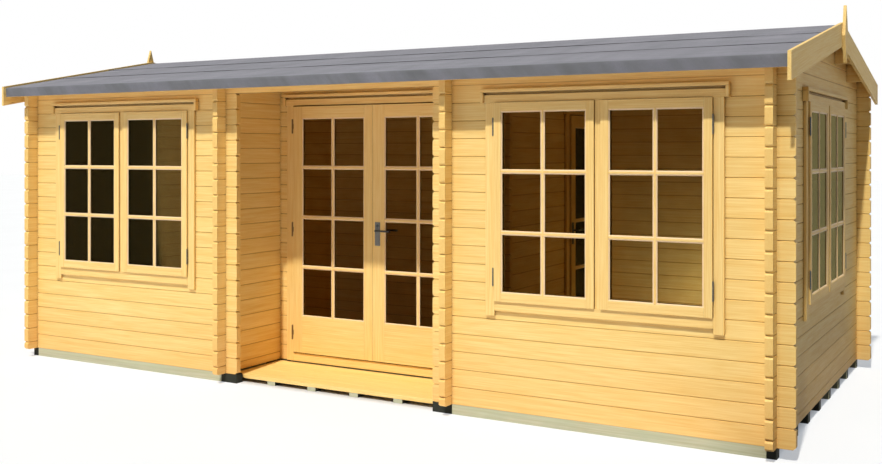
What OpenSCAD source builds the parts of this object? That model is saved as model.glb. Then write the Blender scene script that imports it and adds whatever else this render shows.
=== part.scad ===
// Garden log cabin with a recessed porch, two wings and a felted gable roof.
// Millimetres, +Z up. The origin is on the ground at the middle of the plan,
// the long side runs along X and the porch faces -Y.

/* [House] */
// Length over the outer faces of the two gable walls
house_l = 5950; // [5000:10:7200]
// Depth over the outer faces of the front and back walls
house_w = 3000; // [2500:10:3600]
// Width of each wing, from the gable's outer face to the porch
wing_w = 2058; // [1980:2:2500]
// Depth of the porch, from the front wall's outer face to the door wall's
porch_d = 660; // [560:5:800]

/* [Logs] */
// Height of one log
log_h = 114; // [110:1:137]
// Thickness of the log walls
log_t = 44; // [36:1:54]
// Courses of logs in the front and back walls
courses = 19; // [19:1:23]
// How far the logs run on past the corner they cross
log_end = 100; // [80:1:120]
// Depth of the V groove where two logs meet
groove = 4; // [2:0.5:6]
// Length of the bevel under a log's end
end_bevel_l = 15; // [10:1:25]
// Height of the bevel under a log's end
end_bevel_h = 13; // [10:1:25]
// Bevel on top of a log's end
end_bevel_top = 13; // [5:1:15]

/* [Base] */
// Height of the bearers that carry the walls and floors
bearer_h = 65; // [45:1:90]
// Width of a bearer
bearer_w = 67; // [45:1:90]
// Clear gap between the front bearer and the next one
bearer_front_gap = 469; // [300:1:600]
// Clear gap between the back bearer and the next one
bearer_back_gap = 410; // [300:1:600]
// Bearers between the front one and the back one
inner_bearers = 6; // [4:1:8]
// Thickness of the room floors
floor_t = 19; // [15:1:28]
// Gap left between the floors and the walls
floor_gap = 5; // [2:1:12]
// Height of the battens under the porch deck
batten_h = 27; // [20:1:32]
// Width of a deck batten
batten_w = 70; // [45:1:90]
// Battens under the porch deck
battens = 4; // [3:1:6]
// Distance between the centres of two battens
batten_pitch = 356; // [300:1:420]
// Distance of the battens' middle to the left of the porch's middle
batten_shift = 29; // [0:1:60]
// Thickness of the porch deck
deck_t = 28; // [20:1:32]
// Distance of the deck's front edge behind the front wall's outer face
deck_set_back = 80; // [50:1:120]

/* [Roof] */
// Rise of the roof for each millimetre of run
slope = 0.188; // [0.15:0.002:0.26]
// Thickness of the roof boards
roof_t = 19; // [15:1:25]
// Overhang of the roof boards at the front and back walls
eaves_overhang = 180; // [120:1:260]
// Height of the eaves boards
eaves_board_h = 71; // [60:1:100]
// Thickness of the eaves boards and barge boards
trim_board_t = 20; // [15:1:28]
// Height of the barge boards, measured plumb
barge_h = 156; // [120:1:190]
// How far a barge board's end passes the eaves board
barge_past = 28; // [15:1:45]
// How far a barge board stands above the roof felt
barge_above = 14; // [5:1:25]
// Thickness of the roofing felt
felt_t = 3; // [2:0.5:5]
// Width of the lap where one strip of felt covers the next
felt_lap = 100; // [60:1:150]
// Height of the purlins
purlin_h = 128; // [90:1:150]
// Width of the purlins
purlin_w = 58; // [40:1:70]
// Distance of the inner purlins from the ridge
purlin_in = 440; // [380:1:480]
// Distance of the outer purlins from the outer faces of the front and back walls
purlin_from_wall = 535; // [480:1:560]
// Clearance between a purlin and the roof boards on it
purlin_seat = 0.1; // [0.1:0.05:0.3]

/* [Finials] */
// Length of the finial boards
finial_h = 380; // [300:1:450]
// Greatest width of the finial boards
finial_w = 128; // [100:1:150]
// Width of a finial's foot
finial_foot = 16; // [8:1:40]
// Height of a finial's widest place above its foot
finial_waist = 175; // [140:1:210]
// How far a finial's tip stands above the barge boards
finial_above = 112; // [80:1:140]

/* [Windows] */
// Width over a window's two sashes
window_w = 1364; // [1000:2:1500]
// Height of a sash
sash_h = 1246; // [1000:2:1300]
// Underside of the sashes above the bearers
sash_z = 689; // [620:1:760]
// Distance from a gable's outer face to the middle of the front windows
window_in = 1023; // [950:1:1200]
// Width of the post between two sashes
mullion_w = 38; // [30:1:60]
// Width of a sash's upright sides
stile_w = 58; // [50:1:80]
// Height of a sash's top rail
top_rail = 63; // [50:1:90]
// Height of a sash's bottom rail
bottom_rail = 63; // [50:1:90]
// Width of a glazing bar
bar_w = 29; // [20:1:36]
// Thickness of a sash in front of the wall's outer face
sash_proud = 33; // [25:1:45]
// Depth of a sash's tongue inside the frame
sash_tongue = 12; // [6:1:20]
// Rows of panes in a sash
sash_rows = 3; // [2:1:4]
// Thickness of the glass
glass_t = 4; // [3:1:6]
// Depth of the glass behind the face of a sash or leaf
glass_in = 8; // [6:1:14]
// Depth of the glazing bars behind the faces of a sash or leaf
bar_back = 2; // [1:0.5:4]

/* [Casings] */
// Width of the side casings of windows and doors
casing_w = 62; // [50:1:80]
// Thickness of the casings
casing_t = 20; // [15:1:25]
// How far a frame reaches past the sashes or leaves on each side
frame_reach = 30; // [20:1:40]
// Width of a frame's jambs, head and sill
jamb_w = 55; // [50:1:70]
// Height of the hood board over a window or door
hood_h = 87; // [80:1:110]
// Height of the hood's projecting cap
hood_cap = 22; // [15:1:40]
// How far the hood's cap stands out from the wall
hood_proud = 38; // [30:1:50]
// How far the hood reaches past the side casings
hood_past = 30; // [15:1:40]
// Height of the casing under a window
apron_h = 61; // [50:1:90]
// How far the side casings reach below the apron
casing_foot = 33; // [20:1:60]

/* [Doors] */
// Width of one leaf of the porch's double door
leaf_w = 740; // [600:2:750]
// Height of the door leaves
leaf_h = 1905; // [1800:1:1910]
// Thickness of the door leaves
leaf_t = 40; // [36:1:50]
// Underside of the door leaves above the bearers
leaf_z = 72; // [60:1:75]
// Distance of the double door's middle from the porch's middle
door_shift = 27; // [0:1:70]
// Gap around a door leaf
door_gap = 7; // [6.5:0.5:9]
// Width of a door leaf's upright sides
door_stile = 94; // [75:1:110]
// Height of a door leaf's top rail
door_top_rail = 100; // [80:1:120]
// Height of a door leaf's bottom rail
door_bottom_rail = 293; // [200:1:400]
// Rows of panes in a door leaf
door_rows = 4; // [3:1:5]
// Width of the inner door's leaf
inner_leaf_w = 830; // [700:2:850]
// Height of the inner door's leaf
inner_leaf_h = 1890; // [1800:1:1900]
// Underside of the inner door's leaf above the bearers
inner_leaf_z = 27; // [25:1:40]
// Distance of the inner doorway from the back wall's inner face
inner_door_in = 145; // [115:1:160]

/* [Fittings] */
// Diameter of a hinge knuckle
knuckle_d = 10; // [8:1:14]
// Height of a whole hinge
hinge_h = 110; // [90:1:150]
// Distance of the end hinges' middles from the ends of a leaf
hinge_end = 153; // [100:1:200]
// Height of the lever handles above the bottom of a leaf
lever_z = 970; // [900:1:1050]
// Length of a lever handle
lever_l = 125; // [100:1:140]
// Thickness of a lever's grip
lever_t = 16; // [12:1:20]
// Distance of a lever's middle from its back plate
lever_out = 40; // [35:1:50]
// Height of a handle's back plate
plate_h = 175; // [140:1:220]
// Height of a back plate's top above the lever
plate_up = 63; // [40:1:90]
// Width of a handle's back plate
plate_w = 44; // [30:1:50]
// Distance of a back plate's middle from the free edge of its leaf
plate_in = 28; // [26:1:50]
// Thickness of a handle's back plate
plate_t = 4; // [2:0.5:6]
// Diameter of the spindle between two levers
spindle_d = 12; // [8:0.5:14]

/* [Hidden] */

wood = "burlywood";
dark_wood = "peru";
treated = "darkseagreen";
steel = "dimgray";
pane = "lightsteelblue";
felt_grey = "slategray";

// Plan
x_left = -house_l / 2;
x_right = house_l / 2;
y_front = -house_w / 2;
y_back = house_w / 2;
x_porch_l = x_left + wing_w;
x_porch_r = x_right - wing_w;
y_door = y_front + porch_d;

// Levels
z_wall = bearer_h;
z_beam = z_wall + (courses - 1) * log_h;
z_eave = z_wall + courses * log_h;
z_ridge = z_eave + slope * house_w / 2;
past = 1;
purlin_out = house_w / 2 - purlin_from_wall;

// Roof
roof_up = roof_t * sqrt(1 + slope * slope);
felt_up = felt_t * sqrt(1 + slope * slope);
roof_x = house_l / 2 + log_end;
roof_y = house_w / 2 + eaves_overhang;
eaves_y = roof_y + trim_board_t;
felt_y = eaves_y + felt_t;
barge_y = eaves_y + barge_past;
z_barge = z_ridge + roof_up + felt_up + barge_above;

// Underside of the roof at a distance y from the ridge line
function under(y) = z_ridge - slope * abs(y);

// ---------------------------------------------------------------- log walls

// Heights of the joints between logs, from z0 up to z1, with a joint at z_first
function joints(z_first, z0, z1) = [
    for (k = [0:courses + 8])
        let (z = z_first + k * log_h)
            if (z > z0 + past && z < z1 - past) z
];

// One end of a wall seen from the side: a bevelled nose on each log, or a plain cut
function wall_end(s, dir, levels, nose) = [
    for (k = [0:len(levels) - 2])
        let (b = levels[k], t = levels[k + 1])
            each nose
                ? [[s - dir * end_bevel_l, b], [s, b + end_bevel_h],
                   [s, t - end_bevel_top], [s - dir * end_bevel_top, t]]
                : (k == 0 ? [[s, b]] : [])
];
function top_corner(s, levels, nose) = nose ? [] : [[s, levels[len(levels) - 1]]];

// Wall seen from the side, from s0 to s1 along it
module wall_side(s0, s1, z_first, z0, z1, nose0, nose1) {
    levels = concat([z0], joints(z_first, z0, z1), [z1]);
    up = concat(wall_end(s1, 1, levels, nose1), top_corner(s1, levels, nose1));
    down = concat(wall_end(s0, -1, levels, nose0), top_corner(s0, levels, nose0));
    polygon(concat(up, [for (k = [len(down) - 1:-1:0]) down[k]]));
}

// Openings that let a crossing wall's logs through, at s along the wall
module crossing(s, z_first, z0, z1) {
    for (z = concat(z_first <= z0 + past ? [z_first] : [], joints(z_first, z0, z1 + log_h / 4)))
        translate([s, z - log_h / 4])
            square([log_t, log_h / 2]);
}

// Section through a wall, with a V groove on both faces at each joint
function face_points(t, dir, zs) = [
    for (z = zs)
        each [[t, z - dir * groove], [t - sign(t - log_t / 2) * groove, z], [t, z + dir * groove]]
];
module wall_section(z_first, z0, z_outer, z_inner) {
    zs = joints(z_first, z0, min(z_outer, z_inner) - groove);
    back = [for (k = [len(zs) - 1:-1:0]) zs[k]];
    polygon(concat(
        [[0, z0], [log_t, z0]], face_points(log_t, 1, zs),
        [[log_t, z_inner], [0, z_outer]], face_points(0, -1, back)
    ));
}

// Turns a side view (s, z) into a wall along X whose outer face is at y
module along_x(y, t = log_t) {
    translate([0, y + t, 0])
        rotate([90, 0, 0])
            linear_extrude(t)
                children();
}

// Turns a side view (s, z) into a wall along Y whose faces are at x and x + t
module along_y(x, t = log_t) {
    translate([x, 0, 0])
        rotate([90, 0, 90])
            linear_extrude(t)
                children();
}

// Wall along X: side view as children, section with the top cut to the roof's slope
module x_wall(y, s0, s1, z0, z1) {
    top0 = is_undef(z1) ? under(y) : z1;
    top1 = is_undef(z1) ? under(y + log_t) : z1;
    intersection() {
        along_x(y)
            children();
        translate([s0, y, 0])
            rotate([90, 0, 90])
                linear_extrude(s1 - s0)
                    wall_section(z_wall, z0, top0, top1);
    }
}

// Wall along Y: side view as children, straight section
module y_wall(x, s0, s1, z0) {
    intersection() {
        along_y(x)
            children();
        translate([x, s1, 0])
            rotate([90, 0, 0])
                linear_extrude(s1 - s0)
                    wall_section(z_half, z0, z_ridge + past, z_ridge + past);
    }
}
z_half = z_wall + log_h / 2;
z_top = z_ridge + log_h;

// Space under the roof, seen from the gable, between s0 and s1
module below_roof(s0, s1, z0) {
    ridge = s0 < 0 && s1 > 0 ? [[0, z_ridge]] : [];
    polygon(concat([[s0, z0], [s1, z0], [s1, under(s1)]], ridge, [[s0, under(s0)]]));
}

// Purlin seen from the gable, with its top a clearance below the roof boards
module purlin_shape(y, seat) {
    y0 = y - purlin_w / 2;
    y1 = y + purlin_w / 2;
    low = under(y) - (y == 0 ? purlin_h : purlin_h - slope * purlin_w / 2);
    peak = y == 0 ? [[0, z_ridge - seat]] : [];
    polygon(concat([[y0, low], [y1, low], [y1, under(y1) - seat]], peak, [[y0, under(y0) - seat]]));
}
module purlin_cuts() {
    for (y = [-purlin_out, -purlin_in, 0, purlin_in, purlin_out])
        purlin_shape(y, -past);
}

// Where a window's frame passes through a wall
module window_hole(middle) {
    translate([middle - window_w / 2 - frame_reach, z_wall + sash_z - frame_reach])
        square([window_w + 2 * frame_reach, sash_h + 2 * frame_reach]);
}

// The double door and its doorway
door_w = 2 * leaf_w + 3 * door_gap;
door_x = (x_porch_l + x_porch_r) / 2 - door_shift;
door_x0 = door_x - door_w / 2 - frame_reach;
door_x1 = door_x + door_w / 2 + frame_reach;
z_leaf = z_wall + leaf_z;
z_door_top = z_leaf + leaf_h + door_gap + frame_reach;

// The inner door and its doorway, in the right wing's partition
x_part = x_porch_r;
inner_y1 = y_back - log_t - inner_door_in;
inner_w = inner_leaf_w + 2 * door_gap;
inner_y0 = inner_y1 - inner_w;
inner_hole_y0 = inner_y0 - frame_reach;
inner_hole_y1 = inner_y1 + frame_reach;
z_inner = z_wall + inner_leaf_z;
z_inner_top = z_inner + inner_leaf_h + door_gap + frame_reach;

// Front wall of a wing between its two cross walls' outer faces, x0 and x1
module front_wing_wall(x0, x1, window_x) {
    s0 = x0 - log_end;
    s1 = x1 + log_end;
    x_wall(y_front, s0, s1, z_wall, z_beam)
        difference() {
            wall_side(s0, s1, z_wall, z_wall, z_beam, true, true);
            crossing(x0, z_wall, z_wall, z_beam);
            crossing(x1 - log_t, z_wall, z_wall, z_beam);
            window_hole(window_x);
        }
}
module front_wall_left() {
    color(wood)
        front_wing_wall(x_left, x_porch_l, x_left + window_in);
}
module front_wall_right() {
    color(wood)
        front_wing_wall(x_porch_r, x_right, x_right - window_in);
}
module front_top_log() {
    color(wood)
        x_wall(y_front, x_left - log_end, x_right + log_end, z_beam)
            difference() {
                wall_side(x_left - log_end, x_right + log_end, z_beam, z_beam, z_top, true, true);
                for (x = [x_left, x_porch_l - log_t, x_porch_r, x_right - log_t])
                    crossing(x, z_beam, z_beam, z_eave);
                for (x = [x_left, x_porch_l - log_t, x_porch_r, x_right - log_t])
                    translate([x, z_eave])
                        square([log_t, log_h]);
            }
}
module back_wall() {
    color(wood)
        mirror([0, 1, 0])
            x_wall(y_front, x_left - log_end, x_right + log_end, z_wall)
                difference() {
                    wall_side(x_left - log_end, x_right + log_end, z_wall, z_wall, z_top, true, true);
                    for (x = [x_left, x_porch_r, x_right - log_t])
                        crossing(x, z_wall, z_wall, z_eave);
                    for (x = [x_left, x_porch_r, x_right - log_t])
                        translate([x, z_eave])
                            square([log_t, log_h]);
                }
}

// Side view of a full wall across the house, under the roof
module cross_wall_side() {
    s0 = y_front - log_end;
    s1 = y_back + log_end;
    difference() {
        intersection() {
            wall_side(s0, s1, z_half, z_wall, z_top, true, true);
            below_roof(s0, s1, z_wall);
        }
        crossing(y_front, z_half, z_wall, z_eave);
        crossing(y_back - log_t, z_half, z_wall, z_eave);
        purlin_cuts();
    }
}
module left_gable_wall() {
    color(wood)
        y_wall(x_left, y_front - log_end, y_back + log_end, z_wall)
            cross_wall_side();
}
module right_gable_wall() {
    color(wood)
        y_wall(x_right - log_t, y_front - log_end, y_back + log_end, z_wall)
            difference() {
                cross_wall_side();
                window_hole(0);
            }
}
module porch_side_wall() {
    s0 = y_front - log_end;
    s1 = y_door + log_t + log_end;
    color(wood)
        y_wall(x_porch_l - log_t, s0, s1, z_wall)
            difference() {
                intersection() {
                    wall_side(s0, s1, z_half, z_wall, z_top, true, true);
                    below_roof(s0, s1, z_wall);
                }
                crossing(y_front, z_half, z_wall, z_eave);
                crossing(y_door, z_half, z_wall, under(y_door));
                purlin_cuts();
            }
}

// Side view of the partition with the porch's back wall passing through it
module partition_side() {
    difference() {
        cross_wall_side();
        crossing(y_door, z_half, z_wall, under(y_door));
    }
}
module partition_piece(s0, s1, z0, z1) {
    color(wood)
        y_wall(x_part, y_front - log_end, y_back + log_end, z_wall)
            intersection() {
                partition_side();
                translate([s0, z0])
                    square([s1 - s0, z1 - z0]);
            }
}
module partition_front() {
    partition_piece(y_front - log_end - past, inner_hole_y0, 0, z_inner_top);
}
module partition_rear() {
    partition_piece(inner_hole_y1, y_back + log_end + past, 0, z_inner_top);
}
module partition_lintel() {
    partition_piece(y_front - log_end - past, y_back + log_end + past, z_inner_top, z_top);
}

// The wall behind the porch, cut around the double door
module door_wall_piece(s0, s1, z0, z1) {
    a = x_porch_l - log_t - log_end;
    b = x_porch_r + log_t + log_end;
    color(wood)
        x_wall(y_door, a, b, z_wall)
            intersection() {
                difference() {
                    wall_side(a, b, z_wall, z_wall, z_top, true, true);
                    crossing(x_porch_l - log_t, z_wall, z_wall, under(y_door));
                    crossing(x_porch_r, z_wall, z_wall, under(y_door));
                }
                translate([s0, z0])
                    square([s1 - s0, z1 - z0]);
            }
}
module door_wall_left() {
    door_wall_piece(x_left, door_x0, 0, z_door_top);
}
module door_wall_right() {
    door_wall_piece(door_x1, x_right, 0, z_door_top);
}
module door_wall_lintel() {
    difference() {
        door_wall_piece(x_left, x_right, z_door_top, z_top);
        along_roof()
            purlin_cuts();
    }
}

// ---------------------------------------------------------------- base

module bearer(x0, x1, y) {
    translate([x0, y, 0])
        cube([x1 - x0, bearer_w, bearer_h]);
}
bearer_first = y_front + bearer_w + bearer_front_gap;
bearer_last = y_back - bearer_w - bearer_back_gap - bearer_w;
bearer_pitch = (bearer_last - bearer_first) / (inner_bearers - 1);
module bearers() {
    color(treated) {
        for (y = [y_front, bearer_first]) {
            bearer(x_left, y == y_front ? x_porch_l + log_end : x_porch_l, y);
            bearer(y == y_front ? x_porch_r - log_end : x_porch_r, x_right, y);
        }
        bearer(x_porch_l, x_porch_r, y_door);
        for (k = [1:inner_bearers - 1])
            bearer(x_left, x_right, bearer_first + k * bearer_pitch);
        bearer(x_left, x_right, y_back - bearer_w);
    }
}
deck_y0 = y_front + deck_set_back;
module deck_battens() {
    color(treated)
        for (k = [0:battens - 1])
            translate([(k - (battens - 1) / 2) * batten_pitch - batten_w / 2 - batten_shift, deck_y0, 0])
                cube([batten_w, y_door - deck_y0, batten_h]);
}
module porch_deck() {
    color(dark_wood)
        translate([x_porch_l + floor_gap, deck_y0, batten_h])
            cube([x_porch_r - x_porch_l - 2 * floor_gap, y_door - floor_gap - deck_y0, deck_t]);
}
module main_floor() {
    x0 = x_left + log_t + floor_gap;
    x1 = x_porch_l - log_t - floor_gap;
    x2 = x_porch_r - floor_gap;
    y0 = y_front + log_t + floor_gap;
    y1 = y_door + log_t + log_end + floor_gap;
    y2 = y_back - log_t - floor_gap;
    color(dark_wood)
        translate([0, 0, bearer_h])
            linear_extrude(floor_t)
                polygon([
                    [x0, y0], [x1, y0], [x1, y_door - floor_gap], [x1 - log_end, y_door - floor_gap],
                    [x1 - log_end, y1], [x_porch_l + floor_gap, y1],
                    [x_porch_l + floor_gap, y_door + log_t + floor_gap],
                    [x2, y_door + log_t + floor_gap], [x2, y2], [x0, y2]
                ]);
}
module right_floor() {
    x0 = x_porch_r + log_t + floor_gap;
    y0 = y_front + log_t + floor_gap;
    color(dark_wood)
        translate([0, 0, bearer_h])
            linear_extrude(floor_t)
                polygon([
                    [x0, y0], [x_right - log_t - floor_gap, y0],
                    [x_right - log_t - floor_gap, y_back - log_t - floor_gap],
                    [x0, y_back - log_t - floor_gap],
                    [x0, y_door + log_t + floor_gap], [x0 + log_end, y_door + log_t + floor_gap],
                    [x0 + log_end, y_door - floor_gap], [x0, y_door - floor_gap]
                ]);
}

// ---------------------------------------------------------------- roof

// Runs a gable view along the whole roof
module along_roof(half_l = roof_x) {
    translate([-half_l, 0, 0])
        rotate([90, 0, 90])
            linear_extrude(2 * half_l)
                children();
}
module ridge_purlin() {
    color(wood)
        along_roof()
            purlin_shape(0, purlin_seat);
}
module slope_purlins(side) {
    color(wood)
        along_roof()
            for (y = [purlin_in, purlin_out])
                purlin_shape(side * y, purlin_seat);
}
module front_purlins() {
    slope_purlins(-1);
}
module back_purlins() {
    slope_purlins(1);
}
module roof_boards(side) {
    color(dark_wood)
        along_roof()
            polygon([
                [0, z_ridge], [side * roof_y, under(roof_y)],
                [side * roof_y, under(roof_y) + roof_up], [0, z_ridge + roof_up]
            ]);
}
module roof_boards_front() {
    roof_boards(-1);
}
module roof_boards_back() {
    roof_boards(1);
}
z_eaves_top = under(roof_y) + roof_up - slope * trim_board_t;
module eaves_board(side) {
    color(wood)
        along_roof()
            polygon([
                [side * roof_y, under(roof_y) + roof_up], [side * eaves_y, z_eaves_top],
                [side * eaves_y, z_eaves_top - eaves_board_h], [side * roof_y, z_eaves_top - eaves_board_h]
            ]);
}
module front_eaves_board() {
    eaves_board(-1);
}
module back_eaves_board() {
    eaves_board(1);
}

// Top of the felt on one slope, from the ridge down, with a step at the end of each lap
felt_strips = 3;
strip_run = eaves_y / felt_strips;
function felt_at(y, layers) = [y, under(y) + roof_up + layers * felt_up];
function felt_top() = [
    [0, z_ridge + roof_up + felt_up],
    for (k = [1:felt_strips - 1])
        each [felt_at(k * strip_run - felt_lap, 1), felt_at(k * strip_run, 2), felt_at(k * strip_run, 1)]
];
function felt_side() = concat(
    felt_top(),
    [[felt_y, z_eaves_top + felt_t], [felt_y, z_eaves_top - eaves_board_h],
     [eaves_y, z_eaves_top - eaves_board_h], [eaves_y, z_eaves_top], [0, z_ridge + roof_up]]
);
module roof_felt() {
    half = felt_side();
    color(felt_grey)
        along_roof()
            union() {
                polygon(half);
                polygon([for (p = half) [-p[0], p[1]]]);
            }
}

// A pair of barge boards whose inner faces are at x
module barge_pair(x) {
    color(wood)
        along_y(x, trim_board_t)
            for (side = [-1, 1])
                polygon([
                    [0, z_barge], [side * barge_y, z_barge - slope * barge_y],
                    [side * barge_y, z_barge - slope * barge_y - barge_h], [0, z_barge - barge_h]
                ]);
}
module left_barge_boards() {
    barge_pair(-roof_x - trim_board_t);
}
module right_barge_boards() {
    barge_pair(roof_x);
}
module finial(x) {
    tip = z_barge + finial_above;
    foot = tip - finial_h;
    waist = foot + finial_waist;
    color(wood)
        along_y(x, trim_board_t)
            polygon([
                [0, tip], [-finial_w / 2, waist], [-finial_foot / 2, foot],
                [finial_foot / 2, foot], [finial_w / 2, waist]
            ]);
}
module left_finial() {
    finial(-roof_x - 2 * trim_board_t);
}
module right_finial() {
    finial(roof_x + trim_board_t);
}

// ---------------------------------------------------------------- windows and doors
// These are drawn on a wall whose outer face is at y = 0 and whose inside is at y > 0,
// with x = 0 at the middle and z = 0 at the underside of the sashes or leaves.

// Box from a corner to the opposite corner
module block(x0, y0, z0, x1, y1, z1) {
    translate([x0, y0, z0])
        cube([x1 - x0, y1 - y0, z1 - z0]);
}

// Hood over a window or door, w wide, with its underside at z
module hood(w, z) {
    x = w / 2 + casing_w + hood_past;
    block(-x, -casing_t, z, x, 0, z + hood_h);
    block(-x, -hood_proud, z + hood_h - hood_cap, x, -casing_t, z + hood_h);
    for (side = [-1, 1])
        block(side * x - (side > 0 ? casing_t : 0), -hood_proud, z,
              side * x + (side > 0 ? 0 : casing_t), -casing_t, z + hood_h - hood_cap);
}

// Frame that lines a hole w wide and from z0 to z1, with its front flush with the wall
module frame_ring(w, z0, z1, sill) {
    difference() {
        block(-w / 2 - frame_reach, 0, z0, w / 2 + frame_reach, log_t, z1);
        block(-w / 2 - frame_reach + jamb_w, -past, sill,
              w / 2 + frame_reach - jamb_w, log_t + past, z1 - jamb_w);
    }
}
module window_casing() {
    w = window_w;
    color(wood)
        union() {
            frame_ring(w, -frame_reach, sash_h + frame_reach, jamb_w - frame_reach);
            block(-mullion_w / 2, -casing_t, 0, mullion_w / 2, log_t, sash_h);
            for (side = [-1, 1])
                block(side > 0 ? w / 2 : -w / 2 - casing_w, -casing_t, -apron_h - casing_foot,
                      side > 0 ? w / 2 + casing_w : -w / 2, 0, sash_h);
            block(-w / 2, -casing_t, -apron_h, w / 2, 0, 0);
            hood(w, sash_h);
        }
}

// Grid of bars, two panes wide, in a glazed area from (x0, z0) to (x1, z1)
module bars(x0, x1, z0, z1, y0, y1, rows) {
    middle = (x0 + x1) / 2;
    pitch = (z1 - z0 + bar_w) / rows;
    block(middle - bar_w / 2, y0, z0, middle + bar_w / 2, y1, z1);
    for (k = [1:rows - 1])
        block(x0, y0, z0 + k * pitch - bar_w, x1, y1, z0 + k * pitch);
}

// Framed panel from x0 to x1 and from y0 to y1, h high, glazed between its sides and rails
module glazed_panel(x0, x1, y0, y1, h, side, low, high, rows) {
    difference() {
        block(x0, y0, 0, x1, y1, h);
        block(x0 + side, y0 - past, low, x1 - side, y1 + past, h - high);
    }
    difference() {
        bars(x0 + side, x1 - side, low, h - high, y0 + bar_back, y1 - bar_back, rows);
        glass_sheet(x0, x1, y0, h, side, low, high);
    }
}
module glass_sheet(x0, x1, y0, h, side, low, high) {
    y = y0 + glass_in;
    block(x0 + side, y, low, x1 - side, y + glass_t, h - high);
}
sash_gap = 1.5;
sash_w = (window_w - mullion_w) / 2 - 2 * sash_gap;
sash_starts = [-window_w / 2 + sash_gap, window_w / 2 - sash_gap - sash_w];

// Part of a sash inside the frame, clear of the jambs and the post by a named gap
module sash_tongue_ring(x0) {
    reach = jamb_w - frame_reach + sash_gap;
    hinge = x0 < 0 ? reach : 0;
    post = x0 < 0 ? 0 : reach;
    difference() {
        block(x0 + hinge, 0, reach, x0 + sash_w - post, sash_tongue, sash_h - reach);
        block(x0 + stile_w, -past, bottom_rail, x0 + sash_w - stile_w, sash_tongue + past, sash_h - top_rail);
    }
}
module window_sashes() {
    color(wood)
        for (x0 = sash_starts)
            union() {
                glazed_panel(x0, x0 + sash_w, -sash_proud, 0, sash_h,
                             stile_w, bottom_rail, top_rail, sash_rows);
                sash_tongue_ring(x0);
            }
}
module window_glass() {
    color(pane)
        for (x0 = sash_starts)
            glass_sheet(x0, x0 + sash_w, -sash_proud, sash_h, stile_w, bottom_rail, top_rail);
}
module at_front_window(x) {
    translate([x, y_front, z_wall + sash_z])
        children();
}
module at_gable_window() {
    translate([x_right, 0, z_wall + sash_z])
        rotate([0, 0, 90])
            children();
}
module left_window_casing() {
    at_front_window(x_left + window_in)
        window_casing();
}
module left_window_sashes() {
    at_front_window(x_left + window_in)
        window_sashes();
}
module left_window_glass() {
    at_front_window(x_left + window_in)
        window_glass();
}
module right_window_casing() {
    at_front_window(x_right - window_in)
        window_casing();
}
module right_window_sashes() {
    at_front_window(x_right - window_in)
        window_sashes();
}
module right_window_glass() {
    at_front_window(x_right - window_in)
        window_glass();
}
module gable_window_casing() {
    at_gable_window()
        window_casing();
}
module gable_window_sashes() {
    at_gable_window()
        window_sashes();
}
module gable_window_glass() {
    at_gable_window()
        window_glass();
}

// ---------------------------------------------------------------- doors

leaf_front = -sash_proud;
leaf_back = leaf_front + leaf_t;
stop_y = leaf_back + door_gap;
hinge_y = leaf_front - knuckle_d / 2;
hinge_leaf = 6;
hinge_plate = 2.5;
pin_d = knuckle_d / 2;
knuckle_gap = 0.5;
pin_gap = 0.4;

// Casing of a doorway w wide whose leaves are h high; the leaves' underside is drop above
// the wall's foot and foot above what the casing boards stand on
module door_frame(w, h, drop, foot) {
    reach = frame_reach;
    top = h + door_gap;
    union() {
        difference() {
            block(-w / 2 - reach, 0, -drop, w / 2 + reach, log_t, top + reach);
            block(-w / 2, -past, -door_gap, w / 2, stop_y, top);
            block(-w / 2 - reach + jamb_w, -past, -door_gap,
                  w / 2 + reach - jamb_w, log_t + past, top + reach - jamb_w);
        }
        for (side = [-1, 1])
            block(side > 0 ? w / 2 : -w / 2 - casing_w, -casing_t, -foot,
                  side > 0 ? w / 2 + casing_w : -w / 2, 0, top);
        block(-w / 2, -casing_t, -foot, w / 2, 0, -door_gap);
        hood(w, top);
    }
}

// Leaf hinged at its right edge, which is at x = 0; w wide and h high
module door_leaf(w, h) {
    glazed_panel(-w, 0, leaf_front, leaf_back, h, door_stile, door_bottom_rail, door_top_rail, door_rows);
}
module leaf_glass(w, h) {
    glass_sheet(-w, 0, leaf_front, h, door_stile, door_bottom_rail, door_top_rail);
}
module spindle_bore(w, d) {
    translate([-w + plate_in, leaf_front - plate_t - past, lever_z])
        rotate([-90, 0, 0])
            cylinder(d = d, h = leaf_t + 2 * plate_t + 2 * past, $fn = 48);
}

// Hinge whose leaf's edge is at x = 0: the knuckles on the frame, with the pin
module at_hinges(h) {
    for (z = [hinge_end, h / 2, h - hinge_end])
        translate([door_gap / 2, hinge_y, z - hinge_h / 2])
            children();
}
module knuckle(z0, z1) {
    translate([0, 0, z0])
        cylinder(d = knuckle_d, h = z1 - z0, $fn = 48);
}
module frame_hinge() {
    third = hinge_h / 3;
    web = door_gap / 2;
    for (z = [0, 2 * third])
        union() {
            knuckle(z, z + third - knuckle_gap);
            block(web, 0, z, web + hinge_plate, -casing_t - hinge_y, z + third - knuckle_gap);
        }
    cylinder(d = pin_d, h = hinge_h, $fn = 32);
    block(web, -casing_t - hinge_y - hinge_plate, 0, web + hinge_leaf, -casing_t - hinge_y, hinge_h);
}
module leaf_hinge() {
    third = hinge_h / 3;
    difference() {
        union() {
            knuckle(third + knuckle_gap, 2 * third - knuckle_gap);
            block(-door_gap / 2 - hinge_leaf, knuckle_d / 2 - hinge_plate, third + knuckle_gap,
                  0, knuckle_d / 2, 2 * third - knuckle_gap);
        }
        translate([0, 0, -past])
            cylinder(d = pin_d + 2 * pin_gap, h = hinge_h + 2 * past, $fn = 32);
    }
}

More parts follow.
